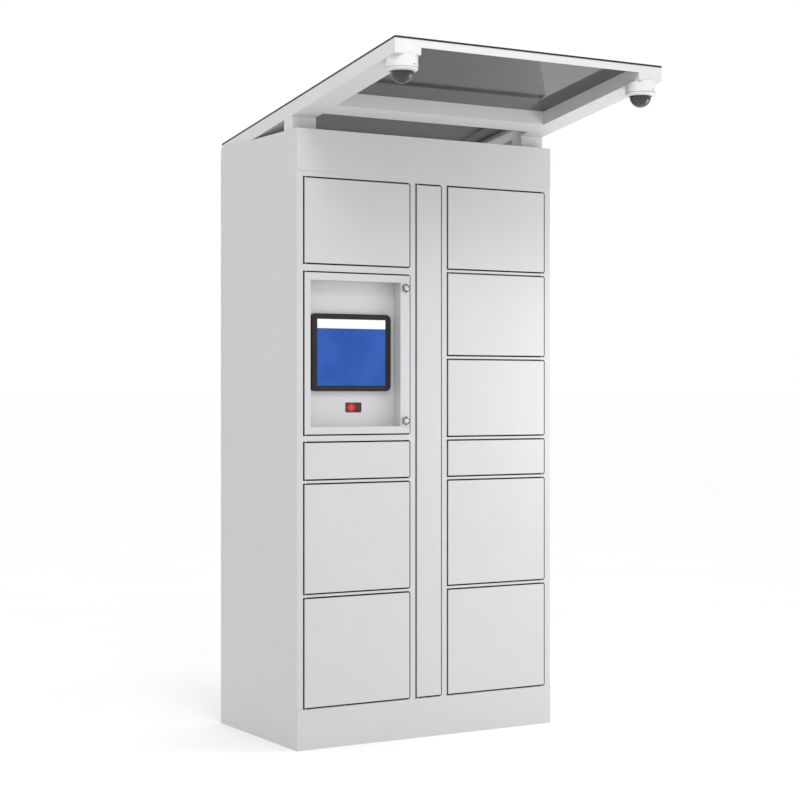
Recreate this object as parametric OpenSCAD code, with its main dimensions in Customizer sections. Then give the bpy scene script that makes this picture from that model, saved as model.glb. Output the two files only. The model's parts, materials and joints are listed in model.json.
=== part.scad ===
// Parcel locker: a two-column cabinet with a central service bay, a terminal
// door and a mono-pitch canopy. The origin is at the centre of the base on the
// floor, +Z up, and the doors face -Y.

/* [Cabinet] */
// Overall width over the side panels
cabinet_w = 1000; // [940:1:1300]
// Depth from the door frame to the back face
cabinet_d = 582; // [480:1:800]
// Thickness of the carcass sheet
sheet_t = 1.5; // [1:0.1:2]
// Depth of the folded front frame
frame_depth = 20; // [18:1:30]
// Height of the plinth zone below the doors
base_h = 134; // [100:1:200]
// Height of the head zone above the doors
head_h = 156.5; // [120:0.5:220]
// How far the plinth and the fascia stand proud of the frame
panel_proud = 3; // [2:0.5:6]
// Drop from the top of the doors to the lower edge of the fascia
fascia_gap = 22; // [16:1:40]

/* [Door layout] */
// Width of each outer stile, to the middle of the door gap
side_stile = 26; // [22:1:40]
// Width of each inner stile, between the middles of the door gaps
mid_stile = 24; // [20:1:36]
// Width of the service door's cell
service_w = 100; // [90:1:160]
// Height of a large compartment's cell
large_h = 358; // [250:1:450]
// Height of a small compartment's cell
small_h = 123; // [100:1:200]
// Height of the medium compartment's cell
medium_h = 262; // [200:1:350]
// Height of an upper compartment's cell
upper_h = 281; // [220:1:350]
// Rail between two cells
rail_h = 12.5; // [11:0.5:20]
// Rail below the terminal door
terminal_low_rail = 23; // [14:1:40]
// Rail above the terminal door
terminal_top_rail = 26; // [14:1:40]

/* [Doors] */
// Gap between a door and the frame
door_gap = 5; // [3:0.1:5.5]
// How far the doors stand proud of the frame
door_proud = 3; // [1:0.5:4]
// Thickness of a folded door
door_t = 12; // [11:0.5:18]
// Sheet thickness of a door
door_skin = 1.5; // [1:0.1:2]
// Corner radius on the right-hand side of a door
door_corner_r = 4.5; // [2:0.5:8]
// Radius of a hinge pin
pin_r = 2.5; // [2:0.1:3]
// Running clearance around a hinge pin
pin_clear = 0.05; // [0.03:0.01:0.09]
// Distance from the hinge edge of a door to its pin
pin_inset = 6; // [5:0.1:7]
// Distance of a pin's axis behind the front of the frame
pin_back = 5; // [4:0.5:6]
// Engagement of a pin in its hinge block
pin_grip = 9; // [6:0.5:14]

/* [Terminal] */
// Depth of the terminal recess behind the door's face
recess_d = 46; // [36:1:70]
// Margin of the recess at the hinge side
recess_left = 23; // [20:1:40]
// Margin of the recess at the lock side
recess_right = 38; // [36:1:60]
// Margin of the recess at top and bottom
recess_end = 26; // [20:1:50]
// Width of the display bezel
bezel_w = 300; // [220:1:320]
// Height of the display bezel
bezel_h = 255; // [180:1:300]
// Corner radius of the display bezel
bezel_r = 18; // [6:1:30]
// How far the bezel stands out of the recess floor
bezel_t = 17; // [6:0.5:24]
// Width of the visible screen
screen_w = 256; // [160:1:290]
// Height of the visible screen
screen_h = 219; // [120:1:235]
// Height of the display's centre above the recess's lower edge
display_z = 244.5; // [180:0.5:320]
// Width of the scanner window
scan_w = 55; // [30:1:80]
// Height of the scanner window
scan_h = 27; // [18:1:50]
// Height of the scanner window's centre above the recess's lower edge
scan_z = 63; // [40:1:100]
// Sideways shift of the scanner window from the recess's centre
scan_shift = 15; // [-60:1:60]
// Distance of each cam lock from the door cell's top or bottom
lock_end = 44; // [34:1:80]

/* [Locks] */
// Radius of a lock bolt
bolt_r = 4; // [3:0.1:5]
// Length of a lock bolt
bolt_len = 30; // [22:1:40]
// Throw of a lock bolt
bolt_throw = 10; // [8:0.5:12]
// Distance of a bolt's axis behind the door frame's front
bolt_back = 38; // [34:1:50]

/* [Canopy] */
// Pitch of the roof, rising to the front
roof_pitch = 8.3; // [5:0.1:12]
// Overhang of the roof in front of the door frame
roof_over = 624; // [400:1:800]
// Height of the roof's rear edge above the cabinet
roof_rear = 16.5; // [12:0.5:40]
// Set-in of the roof from each cabinet side
roof_inset = 4; // [0:0.5:20]
// Thickness of the roof sheet
roof_sheet_t = 4; // [2:0.5:8]
// Clearance between the canopy frame and the roof sheet
roof_clear = 0.05; // [0.02:0.01:0.5]
// Depth of the canopy frame with its sheet
rail_deep = 50; // [40:1:80]
// Width of each canopy frame member
member_w = 90; // [70:1:120]
// Wall thickness of the canopy frame members
member_t = 2; // [1.5:0.1:4]
// Height of the front beam between the side rails
lip_h = 28; // [20:1:40]
// Distance of the cross member in front of the door frame
cross_front = 5; // [0:1:60]
// Distance of each post behind the door frame
post_back = 43; // [20:1:120]
// Depth of each post
post_d = 55; // [40:1:80]

/* [Cameras] */
// Radius of a camera body
cam_r = 48.5; // [42:0.5:60]
// Height of a camera body below the roof rail, on its axis
cam_h = 29.5; // [27:0.5:40]
// Outer radius of the tinted dome
dome_r = 35; // [30:0.5:40]
// Set-in of a camera's axis from the roof's side edge
cam_inset = 50.5; // [44:0.5:70]
// Distance of a camera's axis behind the roof's front edge
cam_back = 45; // [40:1:90]
// Clearance between a camera body and its rail
cam_clear = 0.02; // [0.02:0.01:0.1]

/* [Hidden] */
$fn = 64;
hw = cabinet_w / 2;
fy = -cabinet_d / 2;
ry = cabinet_d / 2;
half_gap = door_gap / 2;
door_y = fy - door_proud;
cell_w = hw - side_stile - mid_stile - service_w / 2;
left_x = -hw + side_stile;
right_x = service_w / 2 + mid_stile;

// lower edge and height of every cell, from the floor up
z_low = base_h;
z_second = z_low + large_h + rail_h;
z_small = z_second + large_h + rail_h;
z_medium = z_small + small_h + rail_h;
z_upper = z_medium + medium_h + rail_h;
z_top = z_upper + upper_h + rail_h;
cells_top = z_top + upper_h;
cabinet_h = cells_top + head_h;
z_terminal = z_small + small_h + terminal_low_rail;
terminal_h = z_top - terminal_top_rail - z_terminal;
left_cells = [[z_low, large_h], [z_second, large_h], [z_small, small_h], [z_top, upper_h]];
right_cells = [[z_low, large_h], [z_second, large_h], [z_small, small_h],
    [z_medium, medium_h], [z_upper, upper_h], [z_top, upper_h]];
terminal_cell = [z_terminal, terminal_h];
service_cell = [z_low, cells_top - z_low];

// carcass
stile_edge = hw - side_stile + half_gap;
frame_bottom = base_h - 34;
frame_top = cells_top + 34;
plinth_h = base_h - half_gap - 1;
fascia_bottom = cells_top + fascia_gap;
partition_x = right_x - half_gap;
partition_bottom = base_h - half_gap - sheet_t;
partition_top = cells_top + half_gap + 5;
shelf_in = hw - sheet_t;
pin_y = fy + pin_back;
anchor_x = 400;
anchor_y = 200;
anchor_r = 7;
gland_r = 10;
gland_x = 40;
gland_z = 60;

// locks
bolt_y = fy + bolt_back;
bolt_rest = 0.5;
bolt_clear = 0.05;
lock_w = bolt_len + 2;
tab_t = 1.5;
tab_gap = door_gap + door_skin + 0.2;
tab_half = 12;
collar_r = 12.5;
collar_out = 10;
flange_r = 13.5;
plug_r = 7;
plug_clear = 0.05;
barrel_r = 9.5;
barrel_back = 24;
cam_len = 30;
cam_half = 7;
cam_t = 3;
lock_x = left_x + cell_w - 21;
lock_low_z = z_terminal + lock_end;
lock_high_z = z_terminal + terminal_h - lock_end;

// terminal recess
recess_x0 = left_x + recess_left;
recess_x1 = left_x + cell_w - recess_right;
recess_z0 = z_terminal + recess_end;
recess_z1 = z_terminal + terminal_h - recess_end;
recess_y = door_y + recess_d;
recess_cx = (recess_x0 + recess_x1) / 2;
display_cz = recess_z0 + display_z;
back_w = bezel_w - 40;
back_h = bezel_h - 40;
back_d = 32;
screen_t = 2;
scan_x = recess_cx + scan_shift;
scan_cz = recess_z0 + scan_z;

// canopy
slope = tan(roof_pitch);
roof_front = fy - roof_over;
roof_half = hw - roof_inset;
frame_drop = roof_sheet_t + roof_clear;
cap_t = 3;
lip_flange = 30;
cross_rear_y = fy - cross_front;
post_y = fy + post_back;
cam_x = roof_half - cam_inset;
cam_y = roof_front + cam_back;
ring_h = 10;
dome_t = 2;
dome_c = cam_h + 10.5;
eye_z = dome_c + 5;
eye_r = 13;

// height of the roof's upper surface at a depth y, less a drop d
function roof_z(y, d) = cabinet_h + roof_rear + (ry - y) * slope - d;

// depth at which the rails' underside meets the cabinet's top
wedge_y = ry + (roof_rear - rail_deep) / slope;

// ---------- building blocks ----------

// a block between two corners
module block(x0, x1, y0, y1, z0, z1) {
    translate([x0, y0, z0]) cube([x1 - x0, y1 - y0, z1 - z0]);
}

// a rectangle with its two right-hand corners rounded
module right_round(w, h, r) {
    square([w - r, h]);
    translate([w - r, r]) square([r, h - 2 * r]);
    for (z = [r, h - r]) translate([w - r, z]) circle(r);
}

// a rectangle with four rounded corners, centred
module round_rect(w, h, r) {
    square([w - 2 * r, h], center = true);
    square([w, h - 2 * r], center = true);
    for (x = [-1, 1], z = [-1, 1]) translate([x * (w / 2 - r), z * (h / 2 - r)]) circle(r);
}

// stands a flat outline up in the XZ plane and gives it a depth towards +Y
module stand(y, depth) {
    translate([0, y + depth, 0]) rotate([90, 0, 0]) linear_extrude(depth) children();
}

// a prism along X from an outline in the YZ plane
module along_x(x0, x1) {
    translate([x0, 0, 0]) rotate([90, 0, 90]) linear_extrude(x1 - x0) children();
}

// a cylinder along Y
module rod_y(x, z, y0, y1, r) {
    translate([x, y1, z]) rotate([90, 0, 0]) cylinder(r = r, h = y1 - y0);
}

// ---------- carcass ----------

// folded side panel: the skin, the front stile, its return and the rear flange
module side_panel(side) {
    fold = 3;
    mirror([side > 0 ? 1 : 0, 0, 0]) linear_extrude(cabinet_h) {
        translate([-hw, fy + fold]) square([sheet_t, cabinet_d - fold]);
        difference() {
            translate([-hw + fold, fy + fold]) circle(fold);
            translate([-hw + fold, fy + fold]) circle(fold - sheet_t);
            translate([-hw + fold, fy - 1]) square([fold + 1, 2 * fold + 2]);
            translate([-hw - 1, fy + fold]) square([2 * fold + 2, fold + 1]);
        }
        translate([-hw + fold, fy]) square([hw - stile_edge - fold, sheet_t]);
        translate([-stile_edge - sheet_t, fy]) square([sheet_t, frame_depth]);
        translate([-hw, ry - sheet_t]) square([20, sheet_t]);
    }
}
module left_side_panel() { color("gainsboro") side_panel(-1); }
module right_side_panel() { color("gainsboro") side_panel(1); }

module back_panel() {
    color("lightgray") difference() {
        block(-shelf_in, shelf_in, ry - 2 * sheet_t, ry - sheet_t, sheet_t, cabinet_h - sheet_t);
        rod_y(gland_x, gland_z, ry - 3 * sheet_t, ry, gland_r + 0.2);
    }
}

module base_tray() {
    color("gray") difference() {
        block(-shelf_in, shelf_in, fy + frame_depth, ry - 2 * sheet_t, 0, sheet_t);
        for (x = [-1, 1], y = [-1, 1]) {
            translate([x * anchor_x, y * anchor_y, -1]) cylinder(r = anchor_r, h = sheet_t + 2);
        }
    }
}

// shallow folded tray with rounded upright edges, open to the rear
module front_tray(z0, z1) {
    r = panel_proud;
    translate([0, 0, z0]) difference() {
        linear_extrude(z1 - z0) {
            translate([-hw + r, fy - r]) square([cabinet_w - 2 * r, r]);
            for (x = [-hw + r, hw - r]) intersection() {
                translate([x, fy]) circle(r);
                translate([x - r, fy - r]) square([2 * r, r]);
            }
        }
        block(-hw + 6, hw - 6, fy - r + sheet_t, fy + 1, sheet_t, z1 - z0 - sheet_t);
    }
}
module plinth() { color("gainsboro") front_tray(0, plinth_h); }
module fascia() { color("gainsboro") front_tray(fascia_bottom, cabinet_h); }

module top_deck() {
    color("gainsboro") difference() {
        union() {
            block(-shelf_in, shelf_in, fy + frame_depth, ry - sheet_t, cabinet_h - sheet_t, cabinet_h);
            block(-stile_edge, stile_edge, fy, fy + frame_depth, cabinet_h - sheet_t, cabinet_h);
            block(-stile_edge, stile_edge, fy, fy + sheet_t, cabinet_h - 30, cabinet_h);
        }
        post_bolts(4.3, cabinet_h - 5, cabinet_h + 5);
    }
}

// opening of one cell in the front frame
module cell_hole(x, cell, w) {
    translate([x - half_gap, 0, cell[0] - half_gap]) stand(fy - 1, frame_depth + 2)
        right_round(w + door_gap, cell[1] + door_gap, door_corner_r + door_gap);
}

// rear cavity that turns a frame member into a folded channel
module channel(x0, x1, z0, z1) {
    block(x0 + sheet_t, x1 - sheet_t, fy + sheet_t, fy + frame_depth + 1, z0 + sheet_t, z1 - sheet_t);
}

// cavities in the rails of one column
module rail_channels(x, w, cells) {
    corner = half_gap + pin_inset + pin_r + 2;
    for (i = [0 : len(cells) - 2]) {
        z0 = cells[i][0] + cells[i][1] + half_gap;
        channel(x + corner, x + w - corner, z0, cells[i + 1][0] - half_gap);
    }
}

module door_frame() {
    left_all = [left_cells[0], left_cells[1], left_cells[2], terminal_cell, left_cells[3]];
    color("gainsboro") difference() {
        block(-stile_edge, stile_edge, fy, fy + frame_depth, frame_bottom, frame_top);
        for (c = left_all) cell_hole(left_x, c, cell_w);
        for (c = right_cells) cell_hole(right_x, c, cell_w);
        cell_hole(-service_w / 2, service_cell, service_w);
        rail_channels(left_x, cell_w, left_all);
        rail_channels(right_x, cell_w, right_cells);
        for (z = [[frame_bottom, base_h - half_gap], [cells_top + half_gap, frame_top]]) {
            channel(-stile_edge, stile_edge, z[0], z[1]);
        }
        for (s = [-1, 1]) {
            x0 = s > 0 ? service_w / 2 + half_gap : -partition_x;
            channel(x0, x0 + mid_stile - door_gap, z_low + 12, cells_top - 12);
        }
        pin_group(pin_r + pin_clear, 0.5);
    }
}

module service_partitions() {
    color("lightgray") for (s = [-1, 1]) difference() {
        mirror([s < 0 ? 1 : 0, 0, 0]) block(partition_x - sheet_t, partition_x,
            fy + frame_depth, ry - 2 * sheet_t, partition_bottom, partition_top);
        for (c = s < 0 ? left_cells : right_cells) {
            translate([s * (partition_x - 5), bolt_y, c[0] + c[1] / 2]) rotate([0, s * 90, 0])
                cylinder(r = bolt_r + 0.5, h = 10);
        }
        if (s < 0) for (z = [lock_low_z, lock_high_z]) {
            block(-partition_x - 1, -partition_x + sheet_t + 1, door_y + barrel_back - 2,
                door_y + barrel_back + cam_t + 2, z - cam_half - 1, z + cam_len - 5);
        }
    }
}

// one shelf with a turned-down front edge
module shelf(side, z) {
    x0 = side < 0 ? -shelf_in : partition_x;
    x1 = side < 0 ? -partition_x : shelf_in;
    block(x0, x1, fy + frame_depth, ry - 2 * sheet_t, z - sheet_t, z);
    block(x0, x1, fy + frame_depth, fy + frame_depth + sheet_t, z - 6, z);
}

module left_shelves() {
    color("lightgray") for (z = [base_h - half_gap, z_second - rail_h / 2, z_small - rail_h / 2,
        z_terminal - terminal_low_rail / 2, z_top - terminal_top_rail / 2,
        cells_top + half_gap + 6]) shelf(-1, z);
}
module right_shelves() {
    color("lightgray") for (z = [base_h - half_gap, z_second - rail_h / 2, z_small - rail_h / 2,
        z_medium - rail_h / 2, z_upper - rail_h / 2, z_top - rail_h / 2,
        cells_top + half_gap + 6]) shelf(1, z);
}

// ---------- hinges and doors ----------

// the two pins of one door, or their holes
module pins(x, cell, r, extra) {
    reach = 3 + extra;
    for (z = [cell[0] + half_gap + pin_grip, cell[0] + cell[1] + half_gap + reach]) {
        translate([x, pin_y, z - pin_grip - door_gap - reach])
            cylinder(r = r, h = pin_grip + door_gap + reach);
    }
}

// pins of every door, or their holes in the frame
module pin_group(r, extra) {
    left_pin = left_x + half_gap + pin_inset;
    for (c = [left_cells[0], left_cells[1], left_cells[2], terminal_cell, left_cells[3]]) {
        pins(left_pin, c, r, extra);
    }
    for (c = right_cells) pins(right_x + cell_w - half_gap - pin_inset, c, r, extra);
    pins(-service_w / 2 + half_gap + pin_inset, service_cell, r, extra);
}
module hinge_pins() { color("silver") pin_group(pin_r, 0); }

// folded door with hinge blocks; hinge is -1 for the left edge and 1 for the right
module door_pan(x, cell, w, hinge) {
    dw = w - door_gap;
    dh = cell[1] - door_gap;
    px = hinge < 0 ? pin_inset : dw - pin_inset;
    translate([x + half_gap, 0, cell[0] + half_gap]) difference() {
        union() {
            difference() {
                stand(door_y, door_t) right_round(dw, dh, door_corner_r);
                block(door_skin, dw - door_skin, door_y + door_skin, door_y + door_t + 1,
                    door_skin, dh - door_skin);
            }
            for (z = [0, dh - pin_grip - 2]) {
                block(px - pin_inset - (hinge < 0 ? 0 : 1), px + pin_inset + (hinge < 0 ? 1 : 0),
                    door_y + 0.5, door_y + door_t, z + 0.5, z + pin_grip + 1.5);
            }
        }
        for (z = [-1, dh - pin_grip - 0.5]) translate([px, pin_y, z])
            cylinder(r = pin_r + pin_clear, h = pin_grip + 1.5);
        if (hinge > 0) for (z = [0, 1]) translate([dw, door_y - 1, z * dh])
            rotate([-90, 0, 0]) corner_cut();
    }
}

// keeps a hinge block inside the rounded door corner
module corner_cut() {
    difference() {
        cube([2 * door_corner_r, 2 * door_corner_r, 2 * (door_t + 2)], center = true);
        for (s = [-1, 1]) translate([-door_corner_r, s * door_corner_r, -door_t - 3])
            cylinder(r = door_corner_r, h = 2 * door_t + 6);
    }
}

// striker tab behind the latch edge of a compartment door
module striker(side, cell) {
    x = partition_x + tab_gap;
    z = cell[0] + cell[1] / 2;
    mirror([side < 0 ? 1 : 0, 0, 0]) difference() {
        union() {
            block(x, x + tab_t, door_y + door_skin, bolt_y + 9, z - tab_half, z + tab_half);
            block(x, x + 14, door_y + door_skin, door_y + door_skin + tab_t, z - tab_half, z + tab_half);
        }
        translate([x - 1, bolt_y, z]) rotate([0, 90, 0]) cylinder(r = bolt_r + 1, h = tab_t + 2);
    }
}

module left_door(i) {
    color("whitesmoke") {
        door_pan(left_x, left_cells[i], cell_w, -1);
        striker(-1, left_cells[i]);
    }
}
module right_door(i) {
    color("whitesmoke") {
        door_pan(right_x, right_cells[i], cell_w, 1);
        striker(1, right_cells[i]);
    }
}
module service_door() { color("whitesmoke") door_pan(-service_w / 2, service_cell, service_w, -1); }

module terminal_door() {
    color("whitesmoke") difference() {
        union() {
            door_pan(left_x, terminal_cell, cell_w, -1);
            block(recess_x0 - sheet_t, recess_x1 + sheet_t, door_y + 0.5, recess_y + sheet_t,
                recess_z0 - sheet_t, recess_z1 + sheet_t);
        }
        block(recess_x0, recess_x1, door_y - 1, recess_y, recess_z0, recess_z1);
        block(recess_cx - back_w / 2, recess_cx + back_w / 2, recess_y - 1, recess_y + sheet_t + 1,
            display_cz - back_h / 2, display_cz + back_h / 2);
        block(scan_x - scan_w / 2, scan_x + scan_w / 2, recess_y - 1, recess_y + sheet_t + 1,
            scan_cz - scan_h / 2, scan_cz + scan_h / 2);
        for (z = [lock_low_z, lock_high_z]) rod_y(lock_x, z, door_y - 1, door_y + 8, barrel_r + 0.1);
    }
}

// ---------- terminal fittings ----------

module display_housing() {
    color([0.12, 0.12, 0.13]) difference() {
        union() {
            translate([recess_cx, 0, display_cz]) stand(recess_y - bezel_t, bezel_t)
                round_rect(bezel_w, bezel_h, bezel_r);
            block(recess_cx - back_w / 2 + 0.5, recess_cx + back_w / 2 - 0.5, recess_y - 1,
                recess_y + back_d, display_cz - back_h / 2 + 0.5, display_cz + back_h / 2 - 0.5);
        }
        block(recess_cx - screen_w / 2, recess_cx + screen_w / 2, recess_y - bezel_t - 1,
            recess_y - bezel_t + screen_t + 0.6, display_cz - screen_h / 2, display_cz + screen_h / 2);
    }
}

module display_screen() {
    color([0.17, 0.36, 0.72]) block(recess_cx - screen_w / 2 + 0.2, recess_cx + screen_w / 2 - 0.2,
        recess_y - bezel_t + 0.6, recess_y - bezel_t + screen_t + 0.6,
        display_cz - screen_h / 2 + 0.2, display_cz + screen_h / 2 - 0.2);
}

module scanner_module() {
    color("dimgray") block(scan_x - scan_w / 2 - 8, scan_x + scan_w / 2 + 8, recess_y + sheet_t,
        recess_y + 38, scan_cz - scan_h / 2 - 7, scan_cz + scan_h / 2 + 7);
}

module scanner_window() {
    color("red") block(scan_x - scan_w / 2 + 0.1, scan_x + scan_w / 2 - 0.1, recess_y + 0.3,
        recess_y + sheet_t, scan_cz - scan_h / 2 + 0.1, scan_cz + scan_h / 2 - 0.1);
}

// fixed collar: round flange, head and a threaded barrel
module lock_collars() {
    color("silver") for (z = [lock_low_z, lock_high_z]) difference() {
        union() {
            rod_y(lock_x, z, door_y - 3, door_y, flange_r);
            rod_y(lock_x, z, door_y - collar_out, door_y - 2, collar_r);
            rod_y(lock_x, z, door_y - 1, door_y + barrel_back - 1, barrel_r);
        }
        rod_y(lock_x, z, door_y - collar_out - 1, door_y + barrel_back, plug_r + plug_clear);
    }
}

// turning plug with its cam, which points up when unlocked
module cam_lock(z) {
    color("silver") {
        difference() {
            rod_y(lock_x, z, door_y - collar_out - 1, door_y + barrel_back + cam_t, plug_r);
            rod_y(lock_x, z, door_y - collar_out - 2, door_y - collar_out + 3, 3);
        }
        block(lock_x - cam_half, lock_x + cam_half, door_y + barrel_back,
            door_y + barrel_back + cam_t, z, z + cam_len);
    }
}
module upper_cam_lock() { cam_lock(lock_high_z); }
module lower_cam_lock() { cam_lock(lock_low_z); }

// ---------- service bay ----------

module lock_body(side, cell) {
    z = cell[0] + cell[1] / 2;
    x = partition_x - sheet_t;
    mirror([side < 0 ? 1 : 0, 0, 0]) difference() {
        block(x - lock_w, x, bolt_y - 14, bolt_y + 22, z - 24, z + 24);
        translate([x - lock_w + 1, bolt_y, z]) rotate([0, 90, 0])
            cylinder(r = bolt_r + bolt_clear, h = lock_w);
    }
}
module lock_bodies() {
    color("dimgray") {
        for (c = left_cells) lock_body(-1, c);
        for (c = right_cells) lock_body(1, c);
    }
}

module lock_bolt(side, cell) {
    x = partition_x - bolt_rest;
    color("silver") mirror([side < 0 ? 1 : 0, 0, 0])
        translate([x - bolt_len, bolt_y, cell[0] + cell[1] / 2]) rotate([0, 90, 0])
            cylinder(r = bolt_r, h = bolt_len);
}

module controller_box() {
    color("darkslategray") block(left_x + 60, left_x + 320, ry - 2 * sheet_t - 70, ry - 2 * sheet_t,
        z_terminal + 180, z_terminal + 380);
}
module power_supply() {
    color("slategray") block(left_x + 90, left_x + 290, ry - 2 * sheet_t - 50, ry - 2 * sheet_t,
        z_terminal + 40, z_terminal + 140);
}

module cable_gland() {
    color([0.1, 0.1, 0.1]) difference() {
        union() {
            rod_y(gland_x, gland_z, ry - sheet_t - 12, ry - sheet_t, gland_r);
            rod_y(gland_x, gland_z, ry - sheet_t, ry - sheet_t + 1.4, gland_r + 4);
        }
        rod_y(gland_x, gland_z, ry - 20, ry + 2, 5);
    }
}

// ---------- canopy ----------

// outline of a canopy member between two depths, from drop d0 down to drop d1
module member_outline(y0, y1, d0, d1) {
    polygon([[y0, roof_z(y0, d0)], [y1, roof_z(y1, d0)],
        [y1, roof_z(y1, d1)], [y0, roof_z(y0, d1)]]);
}

module roof_side_rails() {
    open_top = roof_sheet_t - 1;
    color("white") for (s = [-1, 1]) {
        x0 = s < 0 ? -roof_half : roof_half - member_w;
        difference() {
            along_x(x0, x0 + member_w) polygon([
                [roof_front + cap_t, roof_z(roof_front + cap_t, frame_drop)],
                [ry, roof_z(ry, frame_drop)], [ry, cabinet_h], [wedge_y, cabinet_h],
                [roof_front + cap_t, roof_z(roof_front + cap_t, rail_deep)]]);
            along_x(x0 + member_t, x0 + member_w - member_t)
                member_outline(roof_front + cap_t + member_t, wedge_y, open_top, rail_deep - member_t);
        }
    }
}

module roof_cross_members() {
    inner = roof_half - member_w;
    y0 = cross_rear_y - member_w;
    color("white") {
        difference() {
            along_x(-inner, inner) member_outline(y0, cross_rear_y, frame_drop, rail_deep);
            along_x(-inner + member_t, inner - member_t)
                member_outline(y0 + member_t, cross_rear_y - member_t, roof_sheet_t - 1,
                    rail_deep - member_t);
        }
        along_x(-inner, inner) polygon([[ry - 40, cabinet_h], [ry, cabinet_h],
            [ry, roof_z(ry, frame_drop)], [ry - 40, roof_z(ry - 40, frame_drop)]]);
    }
}

module roof_front_beam() {
    z1 = roof_z(roof_front + cap_t, frame_drop);
    inner = roof_half - member_w;
    y1 = roof_front + cap_t;
    color("white") {
        stand(roof_front, cap_t) polygon([[-roof_half, z1], [-roof_half, roof_z(roof_front, rail_deep)],
            [-inner, roof_z(roof_front, rail_deep)], [-inner, roof_z(roof_front, lip_h)],
            [inner, roof_z(roof_front, lip_h)], [inner, roof_z(roof_front, rail_deep)],
            [roof_half, roof_z(roof_front, rail_deep)], [roof_half, z1]]);
        along_x(-inner, inner) member_outline(y1 - 0.5, y1 + lip_flange, frame_drop, frame_drop + member_t);
    }
}

module roof_sheet() {
    color([0.13, 0.14, 0.15]) along_x(-roof_half, roof_half)
        member_outline(roof_front, ry, 0, roof_sheet_t);
}

module roof_posts() {
    color("white") for (s = [-1, 1]) {
        x0 = s < 0 ? -roof_half : roof_half - member_w;
        difference() {
            along_x(x0, x0 + member_w) polygon([[post_y, cabinet_h], [post_y + post_d, cabinet_h],
                [post_y + post_d, roof_z(post_y + post_d, rail_deep)],
                [post_y, roof_z(post_y, rail_deep)]]);
            block(x0 + member_t, x0 + member_w - member_t, post_y + member_t, post_y + post_d - member_t,
                cabinet_h + member_t, cabinet_h + 200);
            post_bolts(4.3, cabinet_h - 5, cabinet_h + 5);
        }
    }
}

// the bolts, or bolt holes, that hold the posts to the deck
module post_bolts(r, z0, z1) {
    for (s = [-1, 1], k = [-1, 1]) {
        translate([s * (roof_half - member_w / 2) + 25 * k, post_y + post_d / 2, z0])
            cylinder(r = r, h = z1 - z0);
    }
}
module canopy_bolts() {
    color("silver") {
        post_bolts(4, cabinet_h - sheet_t, cabinet_h + member_t + 8);
        post_bolts(6.5, cabinet_h - sheet_t - 5, cabinet_h - sheet_t);
    }
}

// ---------- cameras ----------

// hangs a camera plumb under the roof rail, from the rail's underside on its axis
module camera_place(s) {
    translate([s * cam_x, cam_y, roof_z(cam_y, rail_deep)]) children();
}

// cup with a shaft socket, its top trimmed to the slope of the rail
module camera_bodies() {
    color("white") for (s = [-1, 1]) difference() {
        camera_place(s) rotate_extrude() polygon([[0, 10], [cam_r, 10], [cam_r, -cam_h],
            [cam_r - 3, -cam_h], [cam_r - 3, -12], [8, -12], [8, -22], [5.05, -22],
            [5.05, -14], [0, -14]]);
        along_x(s * cam_x - cam_r - 5, s * cam_x + cam_r + 5)
            member_outline(cam_y - cam_r - 5, cam_y + cam_r + 5, rail_deep - 30,
                rail_deep + cam_clear);
    }
}

module camera_trim_rings() {
    color("white") for (s = [-1, 1]) camera_place(s) rotate_extrude() polygon([
        [dome_r + 0.5, -cam_h], [cam_r, -cam_h], [cam_r, -cam_h - 2],
        [dome_r + 3, -cam_h - ring_h], [dome_r + 0.5, -cam_h - ring_h]]);
}

// tinted half sphere with a short neck and a flange clamped above the trim ring
module camera_domes() {
    neck = dome_c - cam_h;
    color([0.2, 0.2, 0.22]) for (s = [-1, 1]) camera_place(s) translate([0, 0, -dome_c]) {
        difference() {
            union() {
                sphere(dome_r, $fn = 96);
                cylinder(r = dome_r, h = neck);
                translate([0, 0, neck]) cylinder(r = cam_r - 3.5, h = 2.5);
            }
            sphere(dome_r - dome_t, $fn = 96);
            cylinder(r = dome_r - dome_t, h = neck + 3);
            translate([0, 0, neck + 2.5]) cylinder(r = cam_r, h = dome_r);
        }
    }
}

module camera_yoke(s) {
    color("dimgray") camera_place(s) {
        translate([0, 0, -29]) cylinder(r = 22, h = 3);
        translate([0, 0, -27]) cylinder(r = 5, h = 12);
        for (k = [-1, 1]) difference() {
            block(min(k * 15, k * 18), max(k * 15, k * 18), -7, 7, -eye_z - 6, -28);
            translate([0, 0, -eye_z]) rotate([0, 90, 0]) cylinder(r = 2.05, h = 60, center = true);
        }
    }
}
module left_camera_yoke() { camera_yoke(-1); }
module right_camera_yoke() { camera_yoke(1); }

// camera eye on its tilt pins, with the lens barrel facing forward and down
module camera_eye(s) {
    color([0.08, 0.08, 0.09]) camera_place(s) translate([0, 0, -eye_z]) {
        sphere(eye_r);
        rotate([0, 90, 0]) cylinder(r = 2, h = 35, center = true);
        rotate([140, 0, 0]) difference() {
            cylinder(r = 8, h = 19);
            translate([0, 0, 17]) cylinder(r = 6, h = 3);
        }
    }
}
module left_camera_eye() { camera_eye(-1); }
module right_camera_eye() { camera_eye(1); }

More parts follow.
